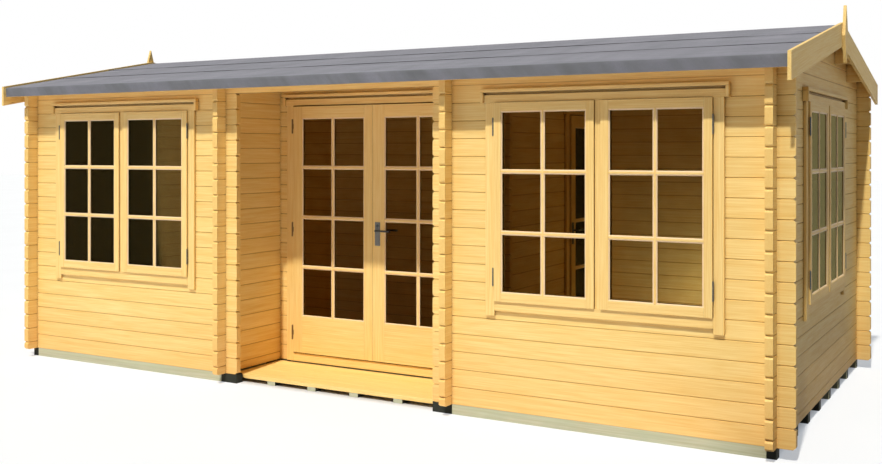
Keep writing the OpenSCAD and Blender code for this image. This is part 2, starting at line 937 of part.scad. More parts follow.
// Back plates on both faces of a leaf, and the levers on their common spindle
module plates(w) {
    x = -w + plate_in;
    top = lever_z + plate_up;
    difference() {
        for (y = [leaf_front - plate_t, leaf_back])
            block(x - plate_w / 2, y, top - plate_h, x + plate_w / 2, y + plate_t, top);
        spindle_bore(w, spindle_d + 1);
    }
}
module levers(w) {
    x = -w + plate_in;
    y0 = leaf_front - plate_t - lever_out;
    y1 = leaf_back + plate_t + lever_out;
    translate([x, y0, lever_z])
        rotate([-90, 0, 0])
            cylinder(d = spindle_d, h = y1 - y0, $fn = 48);
    for (y = [y0, y1])
        translate([x, y, lever_z]) {
            rotate([0, 90, 0])
                cylinder(d = lever_t, h = lever_l, $fn = 32);
            sphere(d = lever_t, $fn = 32);
        }
}
module at_double_door(side) {
    translate([door_x, y_door, z_leaf])
        mirror([side < 0 ? 1 : 0, 0, 0])
            translate([door_w / 2 - door_gap, 0, 0])
                children();
}
module at_inner_door() {
    translate([x_part + log_t, inner_y1, z_inner])
        rotate([0, 0, 90])
            translate([-door_gap, 0, 0])
                children();
}
module door_casing() {
    color(wood)
        translate([door_x, y_door, z_leaf])
            door_frame(door_w, leaf_h, leaf_z, leaf_z);
}
module left_door() {
    color(wood)
        at_double_door(-1)
            door_leaf(leaf_w, leaf_h);
}
module right_door() {
    color(wood)
        at_double_door(1)
            difference() {
                door_leaf(leaf_w, leaf_h);
                spindle_bore(leaf_w, spindle_d + 1);
            }
}
module left_door_glass() {
    color(pane)
        at_double_door(-1)
            leaf_glass(leaf_w, leaf_h);
}
module right_door_glass() {
    color(pane)
        at_double_door(1)
            leaf_glass(leaf_w, leaf_h);
}
module frame_hinges() {
    color(steel)
        for (side = [-1, 1])
            at_double_door(side)
                at_hinges(leaf_h)
                    frame_hinge();
}
module left_door_hinges() {
    color(steel)
        at_double_door(-1)
            at_hinges(leaf_h)
                leaf_hinge();
}
module right_door_hinges() {
    color(steel)
        at_double_door(1)
            at_hinges(leaf_h)
                leaf_hinge();
}
module door_plates() {
    color(steel)
        at_double_door(1)
            plates(leaf_w);
}
module door_lever() {
    color(steel)
        at_double_door(1)
            levers(leaf_w);
}
module inner_door_casing() {
    color(wood)
        translate([x_part + log_t, (inner_y0 + inner_y1) / 2, z_inner])
            rotate([0, 0, 90])
                door_frame(inner_w, inner_leaf_h, inner_leaf_z, inner_leaf_z - floor_t);
}
module inner_door() {
    color(wood)
        at_inner_door()
            difference() {
                door_leaf(inner_leaf_w, inner_leaf_h);
                spindle_bore(inner_leaf_w, spindle_d + 1);
            }
}
module inner_door_glass() {
    color(pane)
        at_inner_door()
            leaf_glass(inner_leaf_w, inner_leaf_h);
}
module inner_frame_hinges() {
    color(steel)
        at_inner_door()
            at_hinges(inner_leaf_h)
                frame_hinge();
}
module inner_door_hinges() {
    color(steel)
        at_inner_door()
            at_hinges(inner_leaf_h)
                leaf_hinge();
}
module inner_door_plates() {
    color(steel)
        at_inner_door()
            plates(inner_leaf_w);
}
module inner_door_lever() {
    color(steel)
        at_inner_door()
            levers(inner_leaf_w);
}

front_wall_left();
front_wall_right();
front_top_log();
back_wall();
left_gable_wall();
right_gable_wall();
porch_side_wall();
partition_front();
partition_rear();
partition_lintel();
door_wall_left();
door_wall_right();
door_wall_lintel();
bearers();
deck_battens();
porch_deck();
main_floor();
right_floor();
ridge_purlin();
front_purlins();
back_purlins();
roof_boards_front();
roof_boards_back();
roof_felt();
front_eaves_board();
back_eaves_board();
left_barge_boards();
right_barge_boards();
left_finial();
right_finial();
left_window_casing();
left_window_sashes();
left_window_glass();
right_window_casing();
right_window_sashes();
right_window_glass();
gable_window_casing();
gable_window_sashes();
gable_window_glass();
door_casing();
left_door();
right_door();
left_door_glass();
right_door_glass();
frame_hinges();
left_door_hinges();
right_door_hinges();
door_plates();
door_lever();
inner_door_casing();
inner_door();
inner_door_glass();
inner_frame_hinges();
inner_door_hinges();
inner_door_plates();
inner_door_lever();
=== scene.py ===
"""Looks of the garden log cabin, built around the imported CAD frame. Metres, +Z up, the porch faces -Y."""
import math
import random

import bmesh
import bpy
from mathutils import Matrix, Vector


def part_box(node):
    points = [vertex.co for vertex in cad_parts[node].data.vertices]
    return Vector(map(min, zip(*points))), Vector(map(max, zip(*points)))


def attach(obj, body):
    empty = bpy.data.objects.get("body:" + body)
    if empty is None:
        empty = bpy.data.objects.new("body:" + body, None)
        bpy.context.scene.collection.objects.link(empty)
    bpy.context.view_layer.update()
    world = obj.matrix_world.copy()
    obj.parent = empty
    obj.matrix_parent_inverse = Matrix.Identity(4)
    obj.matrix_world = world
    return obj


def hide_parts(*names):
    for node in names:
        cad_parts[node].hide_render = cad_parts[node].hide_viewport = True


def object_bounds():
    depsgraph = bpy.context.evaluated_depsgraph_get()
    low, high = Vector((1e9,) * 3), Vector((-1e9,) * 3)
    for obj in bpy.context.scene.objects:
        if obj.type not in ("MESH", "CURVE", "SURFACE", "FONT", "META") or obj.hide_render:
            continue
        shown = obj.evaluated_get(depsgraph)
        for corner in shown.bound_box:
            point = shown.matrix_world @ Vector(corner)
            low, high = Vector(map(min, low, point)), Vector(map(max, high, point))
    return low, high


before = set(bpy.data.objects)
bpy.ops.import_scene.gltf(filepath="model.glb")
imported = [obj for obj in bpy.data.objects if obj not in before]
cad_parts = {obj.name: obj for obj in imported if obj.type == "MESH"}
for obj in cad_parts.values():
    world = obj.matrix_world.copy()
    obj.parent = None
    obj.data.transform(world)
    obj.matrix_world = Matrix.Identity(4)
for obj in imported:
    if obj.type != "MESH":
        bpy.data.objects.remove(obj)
cad_low, cad_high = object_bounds()

# ---- sizes, in metres

LOG_H = 0.114  # height of one log course
LOG_T = 0.044  # thickness of the walls
LOG_END = 0.100  # how far the logs run past a corner
SLOPE = 0.188  # rise of the roof for each metre of run

BOARD_PITCH = 0.096  # cover width of roof and floor boards
BOARD_JOINT = 0.0008  # open joint between two of them
DECK_BOARDS = 5
DECK_JOINT = 0.001
FLOOR_GAP = 0.005  # between a floor and the walls that pass through it
SLIVER = 0.004  # a board narrower than this is left out

STILE, TOP_RAIL, BOTTOM_RAIL, BAR = 0.058, 0.063, 0.063, 0.029
SASH_ROWS = 3
SASH_GAP = 0.0015
SASH_PROUD = 0.033
SASH_TONGUE = 0.012
MULLION = 0.038  # post between the two sashes
GLASS_IN, GLASS_T = 0.008, 0.004
BAR_BACK = 0.002  # how far the bars lie behind the faces of a sash or leaf
BEAD = 0.009  # width of the glazing beads
BEAD_BACK = 0.001  # how far they lie behind the faces of the bars
ROUND_SIDES, LEVER_SIDES = 20, 16  # faces round small metal parts

# rounding of edges
EDGE, SMALL_EDGE, FINE_EDGE = 0.002, 0.0012, 0.0007  # casings, boards, bars and rails
TIMBER_EDGE, ROOF_EDGE = 0.003, 0.0025  # purlins and finials, roof boards
DOOR_EDGE, FLOOR_EDGE = 0.0015, 0.001  # door frames, deck and eaves boards, floors and tongues
CAP_EDGE, RETURN_EDGE = 0.004, 0.003  # a hood's cap and its ends
PLATE_EDGE, METAL_EDGE, HINGE_EDGE = 0.0014, 0.0006, 0.0005

CASING_W, CASING_T = 0.062, 0.020
REACH, JAMB = 0.030, 0.055
HOOD_H, HOOD_CAP, HOOD_PROUD, HOOD_PAST = 0.087, 0.022, 0.038, 0.030
HOOD_GROOVE_H, HOOD_GROOVE_Y = 0.016, 0.003  # groove under the cap, and what is left behind it
APRON_H, CASING_FOOT = 0.061, 0.033
HINGE_H, HINGE_IN, HINGE_R = 0.110, 0.097, 0.0042  # window hinges
HINGE_PIN_H, HINGE_PIN_R, HINGE_JOINT = 0.003, HINGE_R * 0.72, 0.0004
HINGE_SIDE, HINGE_OUT = 0.003, 0.009  # beside the sash, and in front of the casing

DOOR_GAP = 0.007
DOOR_STILE, DOOR_TOP, DOOR_BOTTOM = 0.094, 0.100, 0.293
DOOR_ROWS = 4
LEAF_T = 0.040
DOOR_STOP = 0.014  # depth of the rebate that a leaf shuts against
LIP_W, LIP_T = 0.013, 0.006  # what the right leaf covers of the left one
LIP_CLEAR = 0.0012  # play round the lip
LEVER_Z, LEVER_L, LEVER_R, LEVER_OUT = 0.970, 0.125, 0.008, 0.040
PLATE_W, PLATE_H, PLATE_T = 0.044, 0.175, 0.004
PLATE_UP, PLATE_IN, LOCK_UP = 0.063, 0.028, 0.036
SCREW_IN, SCREW_R, SCREW_OUT = 0.010, 0.0042, 0.0012
ROSE_R, ROSE_OUT = 0.0135, 0.0030
LOCK_R, LOCK_OUT = 0.0110, 0.0020
SLOT_HALF, SLOT_H, SLOT_OUT = 0.0022, 0.022, 0.0022
NECK_BEND, GRIP_BEND, GRIP_BACK = 0.012, 0.008, 0.020

FELT_T = 0.003
FELT_LAP = 0.100
FELT_STRIPS = 3
FELT_STEPS = 120  # along the roof
FELT_FIRST, FELT_ROW = 0.02, 0.06  # places of the rows up the slope, from a sheet's upper edge
RIDGE_ROWS = (0.30, 0.15, 0.04)  # and of the top sheet's rows, from the ridge
FELT_RAMP = 0.012  # how far a lap takes to climb onto the sheet below, each way
FELT_LIFT = 2.02  # height of a lap in layers, with a little air under it
FELT_LIP = 0.030  # last stretch of a sheet, which ripples
FELT_BEND = 0.006  # radius at the eaves
FELT_FLUTTER, FELT_HOLLOW = 0.0006, 0.0005  # how uneven the turned-down strip and the slopes are
RIDGE_DROP = 0.0008

NOSE = 0.055  # how far the painted shade on a front bearer reaches in from the house's corners

# ---- places, from the frame

front_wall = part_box("front_wall_left")
right_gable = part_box("right_gable_wall")
left_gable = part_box("left_gable_wall")
Y_FRONT = front_wall[0].y
X_RIGHT = right_gable[1].x
X_LEFT = left_gable[0].x
Z_WALL = front_wall[0].z
Y_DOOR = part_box("door_wall_left")[0].y
roof_low, roof_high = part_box("roof_boards_front")
ROOF_Y = -roof_low.y
ROOF_X = roof_high.x
ROOF_T = roof_high.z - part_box("ridge_purlin")[1].z  # plumb thickness of the roof boards
Z_RIDGE = roof_high.z - ROOF_T
felt_low, felt_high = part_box("roof_felt")
PORCH_X0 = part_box("porch_side_wall")[1].x
PORCH_X1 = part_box("partition_front")[0].x
# painted shade on the front bearers, from x to x: under the wall corners, where the logs above shade them
SHADED_BEARER_STRETCHES = (
    (X_LEFT - 1, X_LEFT + NOSE), (PORCH_X0 - LOG_T, PORCH_X0 + LOG_END),
    (PORCH_X1 - LOG_END, PORCH_X1 + LOG_T), (X_RIGHT - NOSE, X_RIGHT + 1),
)


def under(y):
    """Underside of the roof boards at a distance y from the ridge line."""
    return Z_RIDGE - SLOPE * abs(y)


def rectangle(x0, y0, x1, y1):
    return [(x0, y0), (x1, y0), (x1, y1), (x0, y1)]


def add_object(name, data):
    """A new object in the scene."""
    made = bpy.data.objects.new(name, data)
    bpy.context.scene.collection.objects.link(made)
    return made


# ---- shader building


class Shader:
    """The node tree of a new material, or of the world, built by short calls that return sockets."""

    def __init__(self, name, kind="materials"):
        self.owner = getattr(bpy.data, kind).new(name)
        self.owner.use_nodes = True
        self.tree = self.owner.node_tree
        self.tree.nodes.clear()

    def node(self, kind, **settings):
        made = self.tree.nodes.new("ShaderNode" + kind)
        for key, value in settings.items():
            setattr(made, key, value)
        return made

    def put(self, socket, value):
        """Links a socket, or sets a constant."""
        if isinstance(value, bpy.types.NodeSocket):
            self.tree.links.new(value, socket)
        elif value is not None:
            socket.default_value = value

    def fill(self, made, *values):
        """Puts a node's first inputs in order, and returns its first output."""
        for socket, value in zip(made.inputs, values):
            self.put(socket, value)
        return made.outputs[0]

    def math(self, op, a, b=None, c=None):
        return self.fill(self.node("Math", operation=op), a, b, c)

    def mul(self, a, b):
        return self.math("MULTIPLY", a, b)

    def add(self, a, b):
        return self.math("ADD", a, b)

    def sub(self, a, b):
        return self.math("SUBTRACT", a, b)

    def vector(self, op, a, b=None, scale=None):
        made = self.node("VectorMath", operation=op)
        self.put(made.inputs[0], a)
        self.put(made.inputs[1], b)
        if scale is not None:
            self.put(made.inputs["Scale"], scale)
        return made.outputs["Value" if op == "LENGTH" else "Vector"]

    def combine(self, x, y, z):
        return self.fill(self.node("CombineXYZ"), x, y, z)

    def separate(self, vector):
        made = self.node("SeparateXYZ")
        self.put(made.inputs[0], vector)
        return made.outputs[0], made.outputs[1], made.outputs[2]

    def coords(self, which="Object"):
        return self.node("TexCoord").outputs[which]

    def attribute(self, name, output="Vector"):
        return self.node("Attribute", attribute_name=name).outputs[output]

    def noise(self, vector, scale=1.0, detail=2.0, rough=0.5):
        return self.shader("TexNoise", Vector=vector, Scale=scale, Detail=detail, Roughness=rough)

    def streaks(self, vector, stretch, detail=2.0, rough=0.5):
        """Noise at a rate of its own along each axis."""
        return self.noise(self.vector("MULTIPLY", vector, stretch), 1.0, detail, rough)

    def white(self, value):
        """A random number from 0 to 1 for each value."""
        made = self.node("TexWhiteNoise", noise_dimensions="1D")
        self.put(made.inputs["W"], value)
        return made.outputs[0]

    def ramp(self, value, low, high, out_low=0.0, out_high=1.0, smooth=False):
        """Maps low..high to out_low..out_high and clamps."""
        made = self.node("MapRange", interpolation_type="SMOOTHSTEP" if smooth else "LINEAR")
        return self.fill(made, value, low, high, out_low, out_high)

    def mix(self, factor, a, b, blend="MIX"):
        made = self.node("Mix", data_type="RGBA", blend_type=blend)
        self.put(made.inputs[0], factor)
        self.put(made.inputs[6], a)
        self.put(made.inputs[7], b)
        return made.outputs[2]

    def shader(self, kind, **inputs):
        """A node of one output with these inputs, whose names have _ for a space."""
        made = self.node(kind)
        for name, value in inputs.items():
            self.put(made.inputs[name.replace("_", " ")], value)
        return made.outputs[0]

    def bump(self, height, distance, strength):
        return self.shader("Bump", Strength=strength, Distance=distance, Height=height)

    def principled(self, color, rough, normal, metallic=0.0, specular=0.5):
        return self.shader(
            "BsdfPrincipled", Base_Color=color, Roughness=rough, Normal=normal,
            Metallic=metallic, Specular_IOR_Level=specular,
        )

    def choose(self, factor, a, b):
        """Shader a where the factor is 0, and b where it is 1."""
        return self.fill(self.node("MixShader"), factor, a, b)

    def finish(self, shader, kind="OutputMaterial"):
        self.tree.links.new(shader, self.node(kind).inputs["Surface"])
        return self.owner


def rgb(r, g, b):
    """A colour from 0-255 screen values, as linear light."""

    def linear(c):
        c /= 255
        return c / 12.92 if c <= 0.04045 else ((c + 0.055) / 1.055) ** 2.4

    return (linear(r), linear(g), linear(b), 1.0)


# ---- wood

PALE_WOOD = rgb(255, 227, 152)
LATE_WOOD = rgb(240, 197, 110)
END_WOOD = rgb(222, 170, 92)
JOINT_BROWN = rgb(172, 126, 60)
# colour of the painted shade in grooves and inner corners
CREVICE_SHADE_BROWN = rgb(104, 58, 16)
RING_RATE = 2 * math.pi / 0.009  # one ring in 9 mm
SHADE_REACH = 0.045  # how near wood must be to darken a groove
SHADE_SAMPLES = 6


def grain(s, vector, seed):
    """Spruce grain. vector is in metres with X along the grain; seed is a number for each board.
    Returns its colour and its height for bump."""
    shift = s.vector("SCALE", (1.0, 0.37, 0.61), scale=s.mul(seed, 41.0))
    placed = s.vector("ADD", vector, shift)
    b, c = s.separate(vector)[1:]
    # Growth rings round a pith behind the board, bent by slow noise.
    slow = s.streaks(placed, (0.8, 7.0, 7.0))
    bend = s.mul(s.sub(slow, 0.5), 0.060)
    rings = s.math("SINE", s.mul(s.add(from_pith(s, b, c, seed), bend), RING_RATE))
    rings = s.math("POWER", s.math("MULTIPLY_ADD", rings, 0.5, 0.5), 2.0)
    # Long streaks of two widths, blotches and fibre.
    wide = s.streaks(placed, (1.1, 42.0, 42.0), 3.0, 0.6)
    fine = s.streaks(placed, (3.5, 170.0, 170.0), 3.0, 0.6)
    fibre = s.streaks(placed, (30.0, 1500.0, 1500.0), 1.0)
    blotch = s.streaks(placed, (0.9, 2.5, 2.5))
    dark = s.mul(rings, 0.15)
    dark = s.add(dark, s.ramp(wide, 0.30, 0.72, 0.0, 0.30))
    dark = s.add(dark, s.ramp(fine, 0.32, 0.68, 0.0, 0.62))
    dark = s.add(dark, s.ramp(blotch, 0.30, 0.72, 0.0, 0.16))
    color = s.mix(dark, PALE_WOOD, LATE_WOOD)
    color = s.vector("SCALE", color, scale=s.ramp(s.white(seed), 0.0, 1.0, 0.965, 1.02))
    return color, s.add(s.add(s.mul(rings, -0.4), s.mul(fibre, 0.8)), s.mul(fine, 0.7))


def from_pith(s, b, c, seed):
    """Distance from the heart of the tree, which lies behind the board."""
    pith_b = s.ramp(s.white(s.mul(seed, 7.3)), 0.0, 1.0, -0.01, 0.08)
    pith_c = s.ramp(s.white(s.mul(seed, 3.9)), 0.0, 1.0, 0.035, 0.105)
    return s.vector("LENGTH", s.combine(0.0, s.sub(b, pith_b), s.add(c, pith_c)))


def end_grain(s, vector, seed):
    """Colour of a cut end, with the rings' curves round the same pith."""
    b, c = s.separate(vector)[1:]
    wobble = s.noise(s.combine(seed, b, c), scale=26.0)
    rings = s.math("MULTIPLY_ADD", wobble, 0.006, from_pith(s, b, c, seed))
    rings = s.math("SINE", s.mul(rings, 1.7 * RING_RATE))
    rings = s.math("POWER", s.math("MULTIPLY_ADD", rings, 0.5, 0.5), 1.6)
    return s.mix(s.mul(rings, 0.6), LATE_WOOD, END_WOOD)


def painted_crevice_shade(s, color):
    """Painted shade: darkens grooves and inner corners, by how much nearby wood hides them."""
    near = s.node("AmbientOcclusion", samples=SHADE_SAMPLES)
    near.inputs["Distance"].default_value = SHADE_REACH
    return s.mix(s.ramp(near.outputs["AO"], 0.18, 0.58, 0.95, 0.0), color, CREVICE_SHADE_BROWN)


def wood_surface(s, color, height):
    """The finished wood, planed but not polished, with painted shade in its grooves and inner corners."""
    fleck = s.noise(s.coords(), scale=60.0)
    rough = s.ramp(fleck, 0.3, 0.7, 0.50, 0.66)
    normal = s.bump(height, 0.0006, 0.55)
    return s.finish(s.principled(painted_crevice_shade(s, color), rough, normal, specular=0.25))


def painted_ground_shade(s, color, z):
    """Painted shade near the ground: the lowest courses are made a little darker and warmer."""
    low = s.ramp(z, Z_WALL, Z_WALL + 4.5 * LOG_H, 1.0, 0.0)
    return s.mix(low, color, s.mix(1.0, color, (0.93, 0.84, 0.80, 1.0), "MULTIPLY"))


def log_material(name, along, z_first, seed_from):
    """A wall of logs. along is 0 for a wall along X and 1 along Y; z_first is the height of a joint."""
    s = Shader(name)
    xyz = s.separate(s.coords())
    z = s.sub(xyz[2], z_first)
    course = s.math("FLOOR", s.math("DIVIDE", z, LOG_H))
    up = s.sub(z, s.mul(course, LOG_H))
    seed = s.white(s.add(course, seed_from))
    vector = s.combine(xyz[along], up, xyz[1 - along])
    color, height = grain(s, vector, seed)
    normal = s.separate(s.coords("Normal"))[along]
    cut = s.ramp(s.math("ABSOLUTE", normal), 0.75, 0.9)
    color = s.mix(cut, color, s.mix(0.5, color, end_grain(s, vector, seed)))
    # The joint itself is dark, and the wood beside it is a little browner, as painted shade at the groove's
    # edges.
    apart = s.math("MINIMUM", up, s.sub(LOG_H, up))
    color = s.mix(s.ramp(apart, 0.002, 0.009, 0.5, 0.0, smooth=True), color, LATE_WOOD)
    color = s.mix(s.ramp(apart, 0.0008, 0.0024, 0.8, 0.0, smooth=True), color, JOINT_BROWN)
    return wood_surface(s, painted_ground_shade(s, color, xyz[2]), height)


def board_material(name, tint=(1.0, 1.0, 1.0, 1.0)):
    """Boards made here, which carry their own grain direction and seed."""
    s = Shader(name)
    vector = s.attribute("grain")
    seed = s.attribute("seed", "Fac")
    color, height = grain(s, vector, seed)
    cut = s.attribute("cut", "Fac")
    color = s.mix(cut, color, end_grain(s, vector, seed))
    color = s.mix(1.0, color, tint, "MULTIPLY")
    return wood_surface(s, color, height)


def plain_wood_material(name, order, seed, mirrored=False):
    """A CAD board whose grain follows one object axis. order lists the axes: along, across, through.
    A mirrored one follows the roof's slope on both sides of the ridge."""
    s = Shader(name)
    xyz = s.separate(s.coords())
    if mirrored:
        y = s.math("ABSOLUTE", xyz[1])
        seed = s.math("MULTIPLY_ADD", s.math("SIGN", xyz[1]), 0.21, seed)
        xyz = (xyz[0], y, s.math("MULTIPLY_ADD", y, SLOPE, xyz[2]))
    color, height = grain(s, s.combine(*(xyz[axis] for axis in order)), seed)
    return wood_surface(s, color, height)


# ---- other materials


def felt_material():
    """Grey mineral felt: grit, weather streaks, worn strokes on its front faces, and dark cut edges at the
    laps, partly the felt's dark core and partly painted shade for the line under each lap.
    """
    s = Shader("mineral_felt")
    place = s.coords()
    x, y, z = s.separate(place)
    grit = s.noise(place, scale=620.0)
    speck = s.node("TexVoronoi", feature="F1")
    s.put(speck.inputs["Vector"], place)
    s.put(speck.inputs["Scale"], 330.0)
    tone = s.separate(speck.outputs["Color"])[0]
    streak = s.streaks(place, (0.7, 9.0, 2.0), 4.0, 0.65)
    patch = s.streaks(place, (5.5, 1.2, 1.5), 3.0, 0.55)
    color = s.mix(s.ramp(streak, 0.3, 0.7), rgb(134, 133, 141), rgb(153, 153, 161))
    color = s.mix(s.ramp(patch, 0.35, 0.7, 0.0, 0.5), color, rgb(117, 119, 124))
    color = s.mix(s.ramp(tone, 0.0, 1.0, 0.0, 0.35), color, rgb(100, 100, 105))
    color = s.mix(s.ramp(grit, 0.55, 0.75, 0.0, 0.35), color, rgb(188, 188, 195))
    slanted = s.math("MULTIPLY_ADD", z, 7.0, s.mul(x, 8.0))
    stroke = s.noise(s.combine(slanted, y, s.mul(z, 3.0)), detail=3.0)
    face = s.ramp(s.math("ABSOLUTE", s.separate(s.coords("Normal"))[1]), 0.5, 0.8)
    worn = s.mul(face, s.ramp(stroke, 0.32, 0.72, 0.40, 0.95))
    color = s.mix(worn, color, rgb(104, 106, 106))
    # cut edges at the laps: dark core, and painted shade for the line under each lap
    edge = s.attribute("edge", "Fac")
    color = s.mix(edge, color, rgb(38, 38, 42))
    normal = s.bump(s.add(grit, tone), 0.0008, 0.6)
    return s.finish(s.principled(color, 0.92, normal, specular=0.2))


def treated_material():
    """Greenish pressure-treated timber, with painted shade on its faces turned along X and on the front
    bearers under the corners.
    """
    s = Shader("treated_wood")
    x, y, z = s.separate(s.coords())
    vector = s.combine(x, z, y)
    streak = s.streaks(vector, (2.0, 70.0, 70.0), 4.0, 0.6)
    blotch = s.streaks(vector, (3.0, 8.0, 8.0), 3.0)
    color = s.mix(s.ramp(streak, 0.3, 0.7), rgb(170, 167, 134), rgb(194, 192, 162))
    color = s.mix(s.ramp(blotch, 0.4, 0.7, 0.0, 0.5), color, rgb(170, 178, 146))
    # painted shade: faces turned along X, and the front parts under the corners, go nearly black
    ends = s.ramp(s.math("ABSOLUTE", s.separate(s.coords("Normal"))[0]), 0.5, 0.7)
    for low, high in SHADED_BEARER_STRETCHES:
        inside = s.mul(s.math("GREATER_THAN", x, low), s.math("LESS_THAN", x, high))
        ends = s.math("MAXIMUM", ends, s.mul(inside, s.math("LESS_THAN", y, 0.0)))
    color = s.mix(s.mul(ends, 0.97), color, rgb(34, 36, 30))
    normal = s.bump(streak, 0.001, 0.6)
    return s.finish(s.principled(color, 0.8, normal, specular=0.2))


GLASS_DARK, GLASS_CLEAR = (0.84, 0.77, 0.64, 1.0), (0.88, 0.81, 0.68, 1.0)
GLASS_GLOSS = (0.36, 0.31, 0.13, 1.0)
GLASS_IOR, GLASS_ROUGH = 1.45, 0.03
COATING = 0.028  # share of the light that the coated glass reflects less than plain glass does


def glass_material():
    """Thin panes, a little bronze and not quite clean: seen through, with a weak reflection."""
    s = Shader("tinted_glass")
    smudge = s.noise(s.coords(), scale=7.0)
    clear = s.shader("BsdfTransparent", Color=s.mix(s.ramp(smudge, 0.3, 0.7), GLASS_DARK, GLASS_CLEAR))
    gloss = s.shader("BsdfGlossy", Color=GLASS_GLOSS, Roughness=GLASS_ROUGH)
    mirrored = s.sub(s.shader("Fresnel", IOR=GLASS_IOR), COATING)
    return s.finish(s.choose(mirrored, clear, gloss))


def steel_material(name, dark, light, rough):
    """Brushed metal between two tones, with a gloss that varies with wear."""
    s = Shader(name)
    brushed = s.streaks(s.coords(), (900.0, 900.0, 60.0))
    worn = s.noise(s.coords(), scale=45.0, detail=3.0)
    color = s.mix(s.ramp(brushed, 0.3, 0.7), dark, light)
    roughness = s.ramp(worn, 0.3, 0.7, rough - 0.06, rough + 0.08)
    normal = s.bump(brushed, 0.0001, 0.5)
    return s.finish(s.principled(color, roughness, normal, metallic=0.8))


def bead_material():
    """The beads' wood, paler and pinker than the frames."""
    s = Shader("glazing_bead")
    streak = s.streaks(s.attribute("grain"), (4.0, 200.0, 200.0))
    color = s.mix(s.ramp(streak, 0.3, 0.7), rgb(241, 207, 154), rgb(248, 218, 170))
    return s.finish(s.principled(color, 0.5, s.bump(streak, 0.0003, 0.4), specular=0.3))


# ---- boards


class Boards:
    """Boards and small parts in one mesh. Each keeps its grain direction and a seed of its own."""

    def __init__(self, place=None):
        self.place = place or Matrix.Identity(4)
        self.points, self.faces = [], []
        self.grain, self.seed, self.cut = [], [], []

    def box(self, low, high, along, bevel=SMALL_EDGE, segments=1):
        """A board from corner to corner whose grain runs along one of the axes 0, 1, 2."""
        (x0, x1), (y0, y1), (z0, z1) = (sorted(pair) for pair in zip(low, high))
        self.prism([(y0, z0), (y1, z0), (y1, z1), (y0, z1)], x0, x1, 0, along, bevel, segments)

    def prism(self, outline, start, end, axis, along, bevel=SMALL_EDGE, segments=1):
        """An outline in the two other axes, in their order, run from start to end along an axis."""
        bm = bmesh.new()
        rings = []
        for place in (start, end):
            corners = [list(corner) for corner in outline]
            for corner in corners:
                corner.insert(axis, place)
            rings.append([bm.verts.new(corner) for corner in corners])
        bm.faces.new(rings[0])
        bm.faces.new(rings[1][::-1])
        for i in range(len(outline)):
            j = (i + 1) % len(outline)
            bm.faces.new((rings[0][i], rings[1][i], rings[1][j], rings[0][j]))
        bmesh.ops.recalc_face_normals(bm, faces=bm.faces)
        if bevel:
            bmesh.ops.bevel(
                bm, geom=list(bm.edges), offset=bevel, segments=segments,
                affect="EDGES", profile=0.5, clamp_overlap=True,
            )
        self.take(bm, along)

    def take(self, bm, along):
        """Adds a mesh as one board, and frees it."""
        across = (along + 1) % 3 if along != 1 else 2
        through = 3 - along - across
        corner = [min(v.co[i] for v in bm.verts) for i in range(3)]
        number = random.random()
        first = len(self.points)
        bm.verts.index_update()
        bm.normal_update()
        for v in bm.verts:
            local = [v.co[i] - corner[i] for i in (along, across, through)]
            self.points.append(tuple(self.place @ v.co))
            self.grain.append(local)
            self.seed.append(number)
        for f in bm.faces:
            self.faces.append([first + v.index for v in f.verts])
            self.cut.append(1.0 if abs(f.normal[along]) > 0.8 else 0.0)
        bm.free()

    def make(self, name, body, slot, material, replaces=()):
        mesh = bpy.data.meshes.new(name)
        mesh.from_pydata(self.points, [], self.faces)
        grain_data = mesh.attributes.new("grain", "FLOAT_VECTOR", "POINT").data
        grain_data.foreach_set("vector", [c for g in self.grain for c in g])
        mesh.attributes.new("seed", "FLOAT", "POINT").data.foreach_set("value", self.seed)
        mesh.attributes.new("cut", "FLOAT", "FACE").data.foreach_set("value", self.cut)
        mesh.materials.append(material)
        piece(name, mesh, body, replaces)


def piece(name, mesh, body, replaces):
    """Puts a finished mesh in the scene, on its body and for the CAD nodes it replaces."""
    mesh.validate()
    mesh.update()
    made = add_object(name, mesh)
    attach(made, body)
    if replaces:
        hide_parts(*replaces)


def dress(node, material, bevel=0.0):
    """Gives a CAD node its material, and small rounded edges if asked."""
    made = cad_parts[node]
    made.data.materials.clear()
    made.data.materials.append(material)
    if bevel:
        edge = made.modifiers.new("edges", "BEVEL")
        edge.width = bevel
        edge.segments = 2
        edge.limit_method = "ANGLE"
        edge.angle_limit = math.radians(35)


random.seed(7)

# ---- camera and light

CAMERA_PLACE = (4.225, -7.647, 1.693)
CAMERA_HEADING = math.radians(30.995)  # it looks level, this far left of straight at the front
LENS, SENSOR = 43.99, 36.0  # in millimetres
SHIFT_X, SHIFT_Y = 0.0520, -0.0912

camera_data = bpy.data.cameras.new("camera")
camera_data.sensor_width = SENSOR
camera_data.lens = LENS
camera_data.shift_x = SHIFT_X
camera_data.shift_y = SHIFT_Y
camera_data.clip_end = 200.0
camera = add_object("camera", camera_data)
camera.location = CAMERA_PLACE
camera.rotation_euler = (math.radians(90), 0.0, CAMERA_HEADING)
bpy.context.scene.camera = camera

SUN_FROM = Vector((0.12, -1.0, 1.56))  # direction towards the sun
SUN_STRENGTH = 3.30
SUN_WIDTH = math.radians(1.6)
SUN_COLOR = (1.0, 0.98, 0.95)
SKY = 0.22
SKY_COLOR = (0.94, 0.975, 1.0, 1.0)
SKY_DIM = 0.35  # share of the sky that is left on the gable's side
FLOOR_SIZE = 60.0  # from the middle to each side
FLOOR_BELOW = 0.001
FLOOR_BOUNCE = 0.97  # what the floor reflects onto the object
FLOOR_FILL = 0.47  # light of its own that the floor shows outside the house, so that shadows stay pale
FLOOR_BLUE = 1.14  # blue in what it reflects
GABLE_BOUNCE, FAR_BOUNCE = 0.06, 0.42  # share of the bounce beside the gable, and 2 m from it
LAMP_SIZE = (0.6, 0.3)
